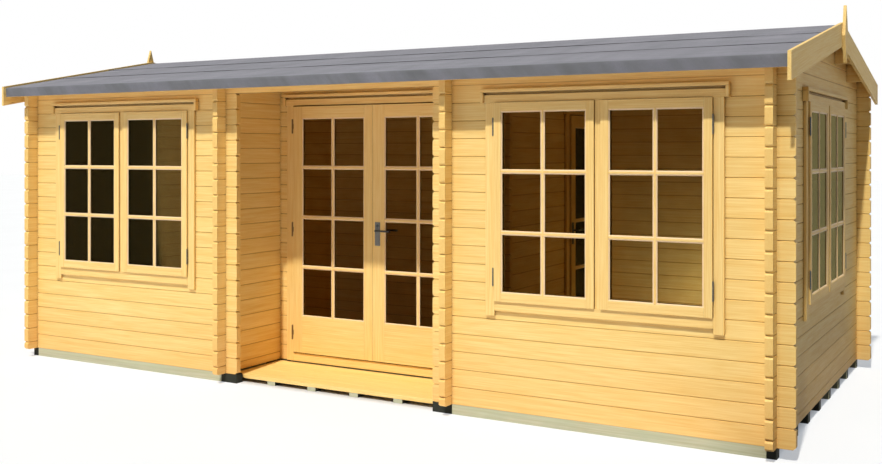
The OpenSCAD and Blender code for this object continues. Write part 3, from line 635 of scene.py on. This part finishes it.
# room lamps: place, watts, colour and the direction they shine in
RIGHT_LAMP = ((2.10, 0.80, 0.30), 5.5, (0.70, 0.86, 1.0), (-0.15, 1.0, 0.10))
LEFT_LAMP = ((-1.8, -0.9, 1.20), 2.4, (1.0, 0.90, 0.80), (-1.0, 0.0, 0.0))

sun_data = bpy.data.lights.new("sun", "SUN")
sun_data.energy = SUN_STRENGTH
sun_data.angle = SUN_WIDTH
sun_data.color = SUN_COLOR
sun = add_object("sun", sun_data)
sun.rotation_mode = "QUATERNION"
sun.rotation_quaternion = SUN_FROM.to_track_quat("Z", "Y")

bpy.context.scene.view_settings.view_transform = "Standard"


def seen_directly(s):
    """1 for rays that show the background: straight from the camera, mirrored or through glass."""
    rays = s.node("LightPath").outputs
    seen = s.math("MAXIMUM", rays["Is Camera Ray"], rays["Is Glossy Ray"])
    return s.math("MAXIMUM", seen, rays["Is Transmission Ray"])


def make_world():
    """A white background, and a soft light that is dimmer on the gable's side."""
    s = Shader("studio", "worlds")
    across = s.separate(s.coords("Generated"))[0]
    soft = s.shader("Background", Color=SKY_COLOR, Strength=s.ramp(across, -0.2, 0.9, SKY, SKY * SKY_DIM))
    white = s.shader("Background", Color=(1.0, 1.0, 1.0, 1.0), Strength=1.0)
    bpy.context.scene.world = s.finish(s.choose(seen_directly(s), soft, white), "OutputWorld")


def make_floor():
    """A pale floor. The camera sees it almost white outside the house; the object gets its bounce."""
    s = Shader("pale_floor")
    mottle = s.noise(s.coords(), scale=0.8)
    pale = s.mix(s.ramp(mottle, 0.3, 0.7), (0.54, 0.53, 0.505, 1.0), (0.56, 0.55, 0.525, 1.0))
    x, y = s.separate(s.coords())[:2]
    past = s.math("MAXIMUM", s.sub(s.math("ABSOLUTE", x), X_RIGHT), s.sub(s.math("ABSOLUTE", y), -Y_FRONT))
    outside = s.ramp(past, -0.10, 0.0, 0.0, FLOOR_FILL)
    glow = s.shader("Emission", Color=(0.86, 0.92, 1.0, 1.0), Strength=outside)
    shown = s.fill(s.node("AddShader"), s.shader("BsdfDiffuse", Color=pale), glow)
    dim = s.ramp(x, X_RIGHT, X_RIGHT + 2.0, GABLE_BOUNCE, FAR_BOUNCE)
    level = s.mul(s.ramp(x, X_RIGHT - 0.4, X_RIGHT, 1.0, 0.0), FLOOR_BOUNCE)
    level = s.math("MAXIMUM", level, s.mul(dim, FLOOR_BOUNCE))
    blue = s.mul(level, FLOOR_BLUE)
    bounce = s.shader("BsdfDiffuse", Color=s.combine(level, level, blue))
    material = s.finish(s.choose(seen_directly(s), bounce, shown))
    z = cad_low.z - FLOOR_BELOW
    corners = [(x, y, z) for x, y in rectangle(-FLOOR_SIZE, -FLOOR_SIZE, FLOOR_SIZE, FLOOR_SIZE)]
    mesh = bpy.data.meshes.new("floor")
    mesh.from_pydata(corners, [], [(0, 1, 2, 3)])
    mesh.materials.append(material)
    add_object("floor", mesh)


make_world()
make_floor()


def room_lamp(name, place, power, color, toward):
    """A small soft lamp inside a room, so that the windows show its walls."""
    data = bpy.data.lights.new(name, "AREA")
    data.shape = "RECTANGLE"
    data.size, data.size_y = LAMP_SIZE
    data.energy = power
    data.color = color
    lamp = add_object(name, data)
    lamp.location = place
    lamp.rotation_mode = "QUATERNION"
    lamp.rotation_quaternion = Vector(toward).to_track_quat("-Z", "Y")
    for ray in ("camera", "glossy", "transmission"):
        setattr(lamp, "visible_" + ray, False)


room_lamp("right_room_lamp", *RIGHT_LAMP)
room_lamp("left_room_lamp", *LEFT_LAMP)

# ---- log walls and timber

half_course = Z_WALL + LOG_H / 2
# material, axis of the logs, height of a joint, first seed, walls
for name, along, first, seed_from, nodes in (
    ("logs_along_x", 0, Z_WALL, 0.0, ("front_wall_left", "front_wall_right", "front_top_log")),
    ("logs_along_y", 1, half_course, 50.0, ("left_gable_wall", "right_gable_wall")),
    ("logs_back", 0, Z_WALL, 100.0, ("back_wall",)),
    ("logs_door_wall", 0, Z_WALL, 150.0, ("door_wall_left", "door_wall_right", "door_wall_lintel")),
    (
        "logs_partition", 1, half_course, 200.0,
        ("porch_side_wall", "partition_front", "partition_rear", "partition_lintel"),
    ),
):
    logs = log_material(name, along, first, seed_from)
    for node in nodes:
        dress(node, logs)

treated = treated_material()
for node in ("bearers", "deck_battens"):
    dress(node, treated, EDGE)
# material, axes along, across and through the grain, seed, mirrored, rounding, nodes
for name, order, seed, mirrored, bevel, nodes in (
    ("purlin_wood", (0, 1, 2), 0.31, False, TIMBER_EDGE, ("ridge_purlin", "front_purlins", "back_purlins")),
    ("barge_wood", (1, 2, 0), 0.52, True, EDGE, ("left_barge_boards", "right_barge_boards")),
    ("finial_wood", (2, 1, 0), 0.77, False, TIMBER_EDGE, ("left_finial", "right_finial")),
    ("eaves_wood", (0, 2, 1), 0.12, False, DOOR_EDGE, ("front_eaves_board", "back_eaves_board")),
):
    timber = plain_wood_material(name, order, seed, mirrored)
    for node in nodes:
        dress(node, timber, bevel)

joinery = board_material("joinery_wood", (1.0, 0.985, 0.99, 1.0))
boards_wood = board_material("boards_wood", (0.98, 0.97, 0.95, 1.0))
bead = bead_material()
hinge_steel = steel_material("hinge_steel", rgb(70, 74, 74), rgb(110, 116, 114), 0.42)
bronze = steel_material("bronzed_steel", rgb(120, 94, 58), rgb(152, 122, 80), 0.45)
plate_steel = steel_material("plate_steel", rgb(92, 90, 86), rgb(126, 123, 116), 0.40)
lever_steel = steel_material("lever_steel", rgb(54, 54, 54), rgb(82, 82, 82), 0.34)
glass = glass_material()

# ---- roof boards, floors and deck


def roof_boards(side, name, node):
    """Boards up one slope of the roof, side by side from gable to gable."""
    made = Boards()
    n = round(2 * ROOF_X / BOARD_PITCH)
    pitch = 2 * ROOF_X / n
    outline = [
        (0.0, Z_RIDGE), (side * ROOF_Y, under(ROOF_Y)),
        (side * ROOF_Y, under(ROOF_Y) + ROOF_T), (0.0, Z_RIDGE + ROOF_T),
    ]
    for k in range(n):
        x = -ROOF_X + k * pitch
        made.prism(outline, x, -ROOF_X + (k + 1) * pitch - BOARD_JOINT, 0, 1, ROOF_EDGE)
    made.make(name, "house", "plain_boards", boards_wood, (node,))


roof_boards(-1, "front_roof_boards", "roof_boards_front")
roof_boards(1, "back_roof_boards", "roof_boards_back")


def floor_boards(zones, low, high, name, node):
    """Boards along X over rectangles (x0, y0, x1, y1), from the height low to high."""
    made = Boards()
    y_first = min(zone[1] for zone in zones)
    y_last = max(zone[3] for zone in zones)
    n = round((y_last - y_first) / BOARD_PITCH)
    pitch = (y_last - y_first) / n
    for x0, y0, x1, y1 in zones:
        for k in range(n):
            a = max(y0, y_first + k * pitch)
            b = min(y1, y_first + (k + 1) * pitch - BOARD_JOINT)
            if b - a > SLIVER:
                made.box((x0, a, low), (x1, b, high), 0, FLOOR_EDGE)
    made.make(name, "house", "plain_boards", boards_wood, (node,))


main_low, main_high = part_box("main_floor")
right_low, right_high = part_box("right_floor")
side_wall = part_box("porch_side_wall")
side_x0, side_x1 = side_wall[1].x - LOG_T, side_wall[1].x
door_wall_in = Y_DOOR + LOG_T
ends_x = side_x0 - LOG_END - FLOOR_GAP
ends_y = door_wall_in + LOG_END + FLOOR_GAP
floor_boards(
    [
        (main_low.x, main_low.y, side_x0 - FLOOR_GAP, Y_DOOR - FLOOR_GAP),
        (main_low.x, Y_DOOR - FLOOR_GAP, ends_x, ends_y),
        (side_x1 + FLOOR_GAP, door_wall_in + FLOOR_GAP, main_high.x, ends_y),
        (main_low.x, ends_y, main_high.x, main_high.y),
    ],
    main_low.z, main_high.z, "main_floor_boards", "main_floor",
)
part_x = right_low.x + LOG_END
floor_boards(
    [
        (right_low.x, right_low.y, right_high.x, Y_DOOR - FLOOR_GAP),
        (part_x, Y_DOOR - FLOOR_GAP, right_high.x, door_wall_in + FLOOR_GAP),
        (right_low.x, door_wall_in + FLOOR_GAP, right_high.x, right_high.y),
    ],
    right_low.z, right_high.z, "right_floor_boards", "right_floor",
)
deck_low, deck_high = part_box("porch_deck")
deck = Boards()
deck_pitch = (deck_high.y - deck_low.y) / DECK_BOARDS
for k in range(DECK_BOARDS):
    y = deck_low.y + k * deck_pitch
    gap = DECK_JOINT if k < DECK_BOARDS - 1 else 0.0
    deck.box((deck_low.x, y, deck_low.z), (deck_high.x, y + deck_pitch - gap, deck_high.z), 0, DOOR_EDGE)
deck.make("porch_deck_boards", "house", "plain_boards", boards_wood, ("porch_deck",))

# ---- roofing felt


def felt_sheet(made, rows, edge_rows, wave):
    """A closed sheet over the roof. rows lists (y, z, normal y, normal z) on its upper side in order,
    edge_rows says which of its first and last rows are cut edges painted dark, partly as shade under a lap,
    and wave moves a row at x."""
    verts, faces, edge = made
    first = len(verts)
    n = len(rows)
    for i in range(FELT_STEPS + 1):
        x = -ROOF_X + 2 * ROOF_X * i / FELT_STEPS
        for thick in (0.0, FELT_T):
            for j, (y, z, ny, nz) in enumerate(rows):
                dy, dz = wave(x, j)
                verts.append((x, y + dy - ny * thick, z + dz - nz * thick))
    step = 2 * n
    for i in range(FELT_STEPS):
        a, b = first + i * step, first + (i + 1) * step
        for j in range(n - 1):
            faces.append((a + j, a + j + 1, b + j + 1, b + j))
            faces.append((a + n + j, b + n + j, b + n + j + 1, a + n + j + 1))
            edge += [0.0, 0.0]
        for j in (0, n - 1):
            quad = (a + j, b + j, b + n + j, a + n + j)
            faces.append(quad if j == 0 else quad[::-1])
            edge.append(1.0 if j in edge_rows else 0.0)
    for i in (0, FELT_STEPS):
        a = first + i * step
        for j in range(n - 1):
            quad = (a + j, a + n + j, a + n + j + 1, a + j + 1)
            faces.append(quad if i == 0 else quad[::-1])
            edge.append(0.0)


def roof_felt():
    """Two overlapping sheets on each slope, the lower turned down at the eaves, and one over the ridge."""
    made = [], [], []
    slant = math.sqrt(1 + SLOPE * SLOPE)
    norm = 1 / slant
    layer = FELT_T * slant
    top = ROOF_T + layer
    eaves_y = felt_high.y - FELT_T
    run = eaves_y / FELT_STRIPS
    phases = [random.uniform(0, 2 * math.pi) for _ in range(24)]

    def ripple(x, k):
        """Slow waves of a lap's edge, a few millimetres each way."""
        p, q = phases[k % 12], phases[(k + 5) % 12]
        slow = 0.0035 * math.sin(2.3 * x + p) + 0.0025 * math.sin(5.9 * x + q)
        return slow + 0.0012 * math.sin(13.7 * x + p)

    def hollow(x, y):
        """How far the sheet lies below its highest place."""
        w = math.sin(3.1 * x + 4.0 * y) * math.sin(1.7 * x - 6.0 * y + 1.0)
        return -FELT_HOLLOW * (1 + w)

    def row(side, y, layers):
        return (side * y, under(y) + top + (layers - 1) * layer, side * SLOPE * norm, norm)

    def lap(side, y):
        """The lower end of a sheet, which climbs onto the next one and ends at y."""
        start = y - FELT_LAP
        return [
            row(side, start - FELT_RAMP, 1.0), row(side, start + FELT_RAMP, FELT_LIFT),
            row(side, y - FELT_LIP, FELT_LIFT), row(side, y, FELT_LIFT),
        ]

    def eaves(side):
        """The lowest sheet's end, bent down in front of the eaves board."""
        y_out = felt_high.y
        z_out = under(ROOF_Y) + top - SLOPE * (eaves_y - ROOF_Y)
        rows = [row(side, eaves_y - FELT_RAMP, 1.0)]
        z_bend = z_out - FELT_BEND - 0.001
        for degrees in (80, 55, 30, 5):
            ny, nz = math.cos(math.radians(degrees)), math.sin(math.radians(degrees))
            y = y_out - FELT_BEND + FELT_BEND * ny
            rows.append((side * y, z_bend + FELT_BEND * nz, side * ny, nz))
        for z in (z_out - FELT_LIP, (z_out + felt_low.z) / 2, felt_low.z):
            rows.append((side * y_out, z, float(side), 0.0))
        return rows

    def slope_wave(side, k, rows, lapped):
        """Moves the rows of strip k: hollows in the middle, ripples at its lower end."""
        n = len(rows)

        def wave(x, j):
            if not lapped and j > n - 5:
                w = math.sin(9.0 * x + 2 * j) * math.sin(3.7 * x + j)
                return -side * FELT_FLUTTER * (1 + w) * (1 if j > n - 4 else 0), 0.0
            if lapped and j >= n - 2:
                share = 1.0 if j == n - 1 else 0.6
                return side * ripple(x, k + (6 if side > 0 else 0)) * share, -abs(ripple(x, k)) * SLOPE
            return 0.0, hollow(x, rows[j][0]) if 0 < j < n - 1 else 0.0

        return wave

    for side in (-1, 1):
        for k in range(1, FELT_STRIPS):
            last = (k + 1) * run
            start = k * run - FELT_LAP
            lapped = k + 1 < FELT_STRIPS
            inner = [start + FELT_FIRST + i * FELT_ROW for i in range(7)]
            rows = [row(side, start, 1.0)]
            rows += [row(side, y, 1.0) for y in inner if y < last - FELT_LAP - FELT_LIP]
            rows += lap(side, last) if lapped else eaves(side)
            edge_rows = (len(rows) - 1,) if lapped else ()
            felt_sheet(made, rows, edge_rows, slope_wave(side, k, rows, lapped))
    # The top strip lies over the ridge and laps both slopes.
    rows = []
    for side in (-1, 1):
        half = lap(side, run)[::-1] + [row(side, y, 1.0) for y in RIDGE_ROWS]
        rows += half if side < 0 else [(0.0, Z_RIDGE + top - RIDGE_DROP, 0.0, 1.0)] + half[::-1]
    n = len(rows)

    def ridge_wave(x, j):
        if j in (0, n - 1):
            side = -1 if j == 0 else 1
            return side * ripple(x, 9 + side), -abs(ripple(x, 9 + side)) * SLOPE
        return 0.0, hollow(x, rows[j][0]) if j != n // 2 else 0.0

    felt_sheet(made, rows, (0, n - 1), ridge_wave)
    verts, faces, edge = made
    mesh = bpy.data.meshes.new("felt")
    mesh.from_pydata(verts, [], faces)
    # edge marks the laps' cut edges, which get painted shade
    mesh.attributes.new("edge", "FLOAT", "FACE").data.foreach_set("value", edge)
    bm = bmesh.new()
    bm.from_mesh(mesh)
    bmesh.ops.recalc_face_normals(bm, faces=bm.faces)
    bm.to_mesh(mesh)
    bm.free()
    mesh.materials.append(felt_material())
    mesh.polygons.foreach_set("use_smooth", [True] * len(mesh.polygons))
    mesh.set_sharp_from_angle(angle=math.radians(30))
    piece("felt_sheets", mesh, "house", ("roof_felt",))


roof_felt()

# ---- glazing


def glazed_leaf(wood, beads, x0, x1, y0, y1, z1, side, low, high, rows, left=None, right=None):
    """A framed leaf from z = 0 to z1 whose stiles run through, with bars on both faces of the glass.
    left and right are the plans of those stiles where they aren't plain."""
    a, b, c, d = x0 + side, x1 - side, low, z1 - high
    wood.prism(left or rectangle(x0, y0, a - BEAD, y1), 0.0, z1, 2, 2)
    wood.prism(right or rectangle(b + BEAD, y0, x1, y1), 0.0, z1, 2, 2)
    wood.box((a - BEAD, y0, 0.0), (b + BEAD, y1, c - BEAD), 0, FINE_EDGE)
    wood.box((a - BEAD, y0, d + BEAD), (b + BEAD, y1, z1), 0, FINE_EDGE)
    middle = (a + b) / 2
    pitch = (d - c + BAR) / rows
    front = y0 + GLASS_IN
    back = front + GLASS_T
    half = BAR / 2 - BEAD
    columns = ((a, middle - BAR / 2), (middle + BAR / 2, b))
    for near, far in ((y0 + BAR_BACK, front), (back, y1 - BAR_BACK)):
        wood.box((middle - half, near, c - BEAD), (middle + half, far, d + BEAD), 2, FINE_EDGE)
        for k in range(1, rows):
            z = c + k * pitch - BAR / 2
            for p, q in ((a - BEAD, middle - half), (middle + half, b + BEAD)):
                wood.box((p, near, z - half), (q, far, z + half), 0, FINE_EDGE)
    for p, q in columns:
        for k in range(rows):
            z = c + k * pitch
            pane_beads(beads, p, q, z, z + pitch - BAR, front, y0 + BAR_BACK + BEAD_BACK)
            pane_beads(beads, p, q, z, z + pitch - BAR, back, y1 - BAR_BACK - BEAD_BACK)


def pane_beads(beads, x0, x1, z0, z1, y, face):
    """Four chamfered strips round a pane, on the glass at y and as far out as face."""
    thin = y + 0.3 * (face - y)
    for z, way in ((z0, -1), (z1, 1)):
        ridge, outer = z + way * 0.7 * BEAD, z + way * BEAD
        outline = [(y, z), (thin, z), (face, ridge), (face, outer), (y, outer)]
        beads.prism(outline, x0 - BEAD, x1 + BEAD, 0, 0, 0)
    for x, way in ((x0, -1), (x1, 1)):
        ridge, outer = x + way * 0.7 * BEAD, x + way * BEAD
        outline = [(x, y), (x, thin), (ridge, face), (outer, face), (outer, y)]
        beads.prism(outline, z0, z1, 2, 2, 0)


def hood(wood, w, z):
    """Hood over an opening w wide: a board, a groove and a projecting cap with returned ends."""
    x = w / 2 + CASING_W + HOOD_PAST
    top = z + HOOD_H
    cap = top - HOOD_CAP
    groove = cap - HOOD_GROOVE_H
    inside = x - CASING_T
    wood.box((-inside, -CASING_T, z), (inside, 0.0, groove), 0, EDGE)
    wood.box((-inside, -HOOD_GROOVE_Y, groove), (inside, 0.0, cap), 0, 0.0)
    wood.box((-x, -HOOD_PROUD, cap), (x, 0.0, top), 0, CAP_EDGE, 3)
    for side in (-1, 1):
        wood.box((side * x, -HOOD_PROUD, z), (side * inside, 0.0, cap), 2, RETURN_EDGE, 2)


def hinge_knuckles(metal, x, y, z):
    """A three-part knuckle with a pin head at each end."""
    third = HINGE_H / 3
    for k in range(3):
        cylinder(metal, x, y, z + k * third + HINGE_JOINT, z + (k + 1) * third - HINGE_JOINT, HINGE_R)
    for low, high in ((z - HINGE_PIN_H, z), (z + HINGE_H, z + HINGE_H + HINGE_PIN_H)):
        cylinder(metal, x, y, low, high, HINGE_PIN_R)


def skin_rings(bm, rings):
    """Faces between rings of as many points, and over both ends."""
    sides = len(rings[0])
    for low, high in zip(rings, rings[1:]):
        for i in range(sides):
            bm.faces.new((low[i], low[(i + 1) % sides], high[(i + 1) % sides], high[i]))
    bm.faces.new(rings[0][::-1])
    bm.faces.new(rings[-1])


def cylinder(metal, x, y, z0, z1, radius):
    """An upright cylinder with small chamfers."""
    bm = bmesh.new()
    rings = []
    edge = min(METAL_EDGE, radius * 0.2, (z1 - z0) * 0.3)
    turns = [2 * math.pi * i / ROUND_SIDES for i in range(ROUND_SIDES)]
    for z, r in ((z0, radius - edge), (z0 + edge, radius), (z1 - edge, radius), (z1, radius - edge)):
        rings.append([bm.verts.new((x + r * math.cos(turn), y + r * math.sin(turn), z)) for turn in turns])
    skin_rings(bm, rings)
    metal.take(bm, 2)


def tube(metal, points, radii, sides):
    """A round bar along points that share one height, with a radius at each."""
    bm = bmesh.new()
    rings = []
    upright = Vector((0.0, 0.0, 1.0))
    for k, (point, radius) in enumerate(zip(points, radii)):
        before, after = Vector(points[max(k - 1, 0)]), Vector(points[min(k + 1, len(points) - 1)])
        side = upright.cross((after - before).normalized())
        ring = []
        for i in range(sides):
            turn = 2 * math.pi * i / sides
            around = math.cos(turn) * side + math.sin(turn) * upright
            ring.append(bm.verts.new(Vector(point) + radius * around))
        rings.append(ring)
    skin_rings(bm, rings)
    bmesh.ops.recalc_face_normals(bm, faces=bm.faces)
    metal.take(bm, 0)


def button(metal, x, y, z, radius, out):
    """A low round head on a face at y that stands out by the signed distance out."""
    points = [(x, y, z), (x, y + 0.7 * out, z), (x, y + out, z)]
    tube(metal, points, [radius, radius, 0.75 * radius], ROUND_SIDES)


# ---- windows


def window(prefix, place):
    """Two glazed sashes in a casing with a hood. place is the middle of the opening's foot, on the wall."""
    sash_low, sash_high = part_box(prefix + "_window_sashes")
    size = sash_high - sash_low
    height = sash_high.z - sash_low.z
    w = max(size.x, size.y) + 2 * SASH_GAP
    sash_w = (w - MULLION) / 2 - 2 * SASH_GAP
    frame_wood, sash_wood, beads, metal = (Boards(place) for _ in range(4))
    # frame that lines the hole, and the post between the sashes
    inner = REACH - JAMB
    for side in (-1, 1):
        a, b = side * (w / 2 + REACH), side * (w / 2 + inner)
        frame_wood.box((a, 0.0, -REACH), (b, LOG_T, height + REACH), 2)
        a, b = side * w / 2, side * (w / 2 + CASING_W)
        frame_wood.box((a, -CASING_T, -APRON_H - CASING_FOOT), (b, 0.0, height), 2, EDGE)
    for z0, z1 in ((-REACH, JAMB - REACH), (height + inner, height + REACH)):
        frame_wood.box((-w / 2 - inner, 0.0, z0), (w / 2 + inner, LOG_T, z1), 0)
    frame_wood.box((-MULLION / 2, -CASING_T, 0.0), (MULLION / 2, LOG_T, height), 2, EDGE)
    frame_wood.box((-w / 2, -CASING_T, -APRON_H), (w / 2, 0.0, 0.0), 0, EDGE)
    hood(frame_wood, w, height)
    # the two sashes
    reach = JAMB - REACH + SASH_GAP
    for x0 in (-w / 2 + SASH_GAP, w / 2 - SASH_GAP - sash_w):
        x1 = x0 + sash_w
        parts = (STILE, BOTTOM_RAIL, TOP_RAIL, SASH_ROWS)
        glazed_leaf(sash_wood, beads, x0, x1, -SASH_PROUD, 0.0, height, *parts)
        a = x0 + (reach if x0 < 0 else 0.0)
        b = x1 - (0.0 if x0 < 0 else reach)
        for p, q in ((a, x0 + STILE), (x1 - STILE, b)):
            sash_wood.box((p, 0.0, reach), (q, SASH_TONGUE, height - reach), 2, FLOOR_EDGE)
        for z0, z1 in ((reach, BOTTOM_RAIL), (height - TOP_RAIL, height - reach)):
            sash_wood.box((x0 + STILE, 0.0, z0), (x1 - STILE, SASH_TONGUE, z1), 0, FLOOR_EDGE)
    # two lift-off hinges on each side
    for side in (-1, 1):
        for z in (HINGE_IN, height - HINGE_IN - HINGE_H):
            x = side * (w / 2 + HINGE_SIDE)
            hinge_knuckles(metal, x, -CASING_T - HINGE_R - HINGE_OUT, z)
    name = prefix + "_window"
    frame_wood.make(name + "_frame", "house", "joinery", joinery, (name + "_casing",))
    sash_wood.make(name + "_sash_frames", "house", "joinery", joinery, (name + "_sashes",))
    beads.make(name + "_beads", "house", "joinery", bead)
    metal.make(name + "_hinges", "house", "door_fittings", hinge_steel)
    dress(name + "_glass", glass)


QUARTER_TURN = Matrix.Rotation(math.radians(90), 4, "Z")  # from the front to the right-hand side
for prefix in ("left", "right"):
    low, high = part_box(prefix + "_window_sashes")
    window(prefix, Matrix.Translation(((low.x + high.x) / 2, Y_FRONT, low.z)))
low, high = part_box("gable_window_sashes")
window("gable", Matrix.Translation((X_RIGHT, (low.y + high.y) / 2, low.z)) @ QUARTER_TURN)

# ---- doors


def door_frame(name, node, place, w, height, drop, foot):
    """Jambs with rebates, sill, casings and hood of a doorway w wide. z = 0 is the leaves' underside."""
    wood = Boards(place)
    top = height + DOOR_GAP
    stop = JAMB - REACH
    for side in (-1, 1):
        wood.box((side * (w / 2 + REACH), 0.0, -drop), (side * w / 2, LOG_T, top + REACH), 2, DOOR_EDGE)
        wood.box((side * w / 2, DOOR_STOP, -DOOR_GAP), (side * (w / 2 - stop), LOG_T, top), 2, DOOR_EDGE)
        wood.box((side * w / 2, -CASING_T, -foot), (side * (w / 2 + CASING_W), 0.0, top), 2, EDGE)
    wood.box((-w / 2, 0.0, top), (w / 2, LOG_T, top + REACH), 0, DOOR_EDGE)
    wood.box((-w / 2 + stop, DOOR_STOP, top - stop), (w / 2 - stop, LOG_T, top), 0, DOOR_EDGE)
    wood.box((-w / 2, 0.0, -drop), (w / 2, LOG_T, -DOOR_GAP), 0, EDGE)
    wood.box((-w / 2, -CASING_T, -foot), (w / 2, 0.0, -DOOR_GAP), 0, EDGE)
    hood(wood, w, top)
    wood.make(name, "house", "joinery", joinery, (node,))


def door_leaf(name, body, place, x0, x1, height, left=None, right=None):
    """A glazed leaf that stands for the CAD node with its body's name, and its beads."""
    wood, beads = Boards(place), Boards(place)
    y0 = -SASH_PROUD
    size = (y0, y0 + LEAF_T, height, DOOR_STILE, DOOR_BOTTOM, DOOR_TOP, DOOR_ROWS)
    glazed_leaf(wood, beads, x0, x1, *size, left, right)
    wood.make(name, body, "joinery", joinery, (body,))
    beads.make(name + "_beads", body, "joinery", bead)
    dress(body + "_glass", glass)


left_low, left_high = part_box("left_door")
right_leaf_low, right_leaf_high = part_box("right_door")
leaf_h = left_high.z - left_low.z
door_x = (left_high.x + right_leaf_low.x) / 2
door_w = 2 * (left_high.x - left_low.x) + 3 * DOOR_GAP
door_place = Matrix.Translation((door_x, Y_DOOR, left_low.z))
door_drop = left_low.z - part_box("door_casing")[0].z
door_frame("door_frame", "door_casing", door_place, door_w, leaf_h, door_drop, door_drop)

# The meeting stiles are rebated: a lip on the right leaf lies over the edge of the left one.
meet_left, meet_right = left_high.x - door_x, right_leaf_low.x - door_x
face, back = -SASH_PROUD, -SASH_PROUD + LEAF_T
lip, lip_back = meet_left - LIP_W + DOOR_GAP / 2, face + LIP_T
stile_left, stile_right = meet_left - DOOR_STILE + BEAD, meet_right + DOOR_STILE - BEAD
rebated = [
    (stile_left, face), (lip - LIP_CLEAR, face), (lip - LIP_CLEAR, lip_back + LIP_CLEAR),
    (meet_left, lip_back + LIP_CLEAR), (meet_left, back), (stile_left, back),
]
lipped = [
    (lip, face), (stile_right, face), (stile_right, back),
    (meet_right, back), (meet_right, lip_back), (lip, lip_back),
]
door_leaf("left_leaf", "left_door", door_place, left_low.x - door_x, meet_left, leaf_h, None, rebated)
door_leaf("right_leaf", "right_door", door_place, meet_right, right_leaf_high.x - door_x, leaf_h, lipped)

inner_low, inner_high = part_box("inner_door")
inner_w = inner_high.y - inner_low.y + 2 * DOOR_GAP
inner_x = inner_high.x - SASH_PROUD
inner_y = (inner_low.y + inner_high.y) / 2
inner_h = inner_high.z - inner_low.z
inner_edge = inner_w / 2 - DOOR_GAP
inner_place = Matrix.Translation((inner_x, inner_y, inner_low.z)) @ QUARTER_TURN
inner_drop = inner_low.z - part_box("inner_door_casing")[0].z
inner_foot = inner_low.z - main_high.z
door_frame("inner_door_frame", "inner_door_casing", inner_place, inner_w, inner_h, inner_drop, inner_foot)
door_leaf("inner_leaf", "inner_door", inner_place, -inner_edge, inner_edge, inner_h)


def furniture(prefix, place, body, edge):
    """Back plates with screws, lock rose and lever on both faces of a leaf whose lock edge is at edge."""
    x = edge + PLATE_IN
    lock_z = LEVER_Z + LOCK_UP
    top = LEVER_Z + PLATE_UP
    plates, lock, lever = Boards(place), Boards(place), Boards(place)
    for face, way in ((-SASH_PROUD, -1), (LEAF_T - SASH_PROUD, 1)):
        skin = face + way * PLATE_T
        plates.box((x - PLATE_W / 2, face, top - PLATE_H), (x + PLATE_W / 2, skin, top), 2, PLATE_EDGE, 3)
        for z in (top - SCREW_IN, top - PLATE_H + SCREW_IN):
            button(plates, x, skin, z, SCREW_R, way * SCREW_OUT)
        button(plates, x, skin, LEVER_Z, ROSE_R, way * ROSE_OUT)
        button(lock, x, skin, lock_z, LOCK_R, way * LOCK_OUT)
        low = (x - SLOT_HALF, skin, lock_z - SLOT_H)
        lock.box(low, (x + SLOT_HALF, skin + way * SLOT_OUT, lock_z), 2, METAL_EDGE)
        handle(lever, x, skin, way)
    plates.make(prefix + "_plates_detail", body, "door_fittings", plate_steel, (prefix + "_plates",))
    lock.make(prefix + "_lock", body, "door_fittings", lever_steel)
    name = prefix + "_lever"
    lever.make(name + "_detail", name, "door_fittings", lever_steel, (name,))


def handle(lever, x, skin, way):
    """A neck that bends into a grip, with its end turned back towards the leaf."""
    straight = LEVER_OUT - NECK_BEND
    points = [(x, skin - way * 0.004), (x, skin + way * straight * 0.5)]
    radii = [LEVER_R * 0.9, LEVER_R * 0.9]
    for k in range(7):
        turn = math.radians(15 * k)
        out = straight + NECK_BEND * math.sin(turn)
        points.append((x + NECK_BEND * (1 - math.cos(turn)), skin + way * out))
        radii.append(LEVER_R * (0.9 + 0.1 * k / 6))
    for part in (0.35, 0.6, 0.8):
        out = LEVER_OUT - 0.002 * math.sin(math.pi * part)
        points.append((x + part * LEVER_L, skin + way * out))
        radii.append(LEVER_R * (0.86 if part < 0.5 else 0.95))
    end = x + LEVER_L - LEVER_R - 0.006
    for k in range(6):
        turn = math.radians(18 * k)
        out = LEVER_OUT - GRIP_BEND * (1 - math.cos(turn))
        points.append((end + GRIP_BEND * math.sin(turn), skin + way * out))
        radii.append(LEVER_R)
    points.append((end + GRIP_BEND, skin + way * (LEVER_OUT - GRIP_BACK)))
    radii.append(LEVER_R * 0.8)
    tube(lever, [(a, b, LEVER_Z) for a, b in points], radii, LEVER_SIDES)


for part in ("frame", "left_door", "right_door", "inner_frame", "inner_door"):
    dress(part + "_hinges", bronze, HINGE_EDGE)
furniture("door", door_place, "right_door", meet_right)
furniture("inner_door", inner_place, "inner_door", -inner_edge)
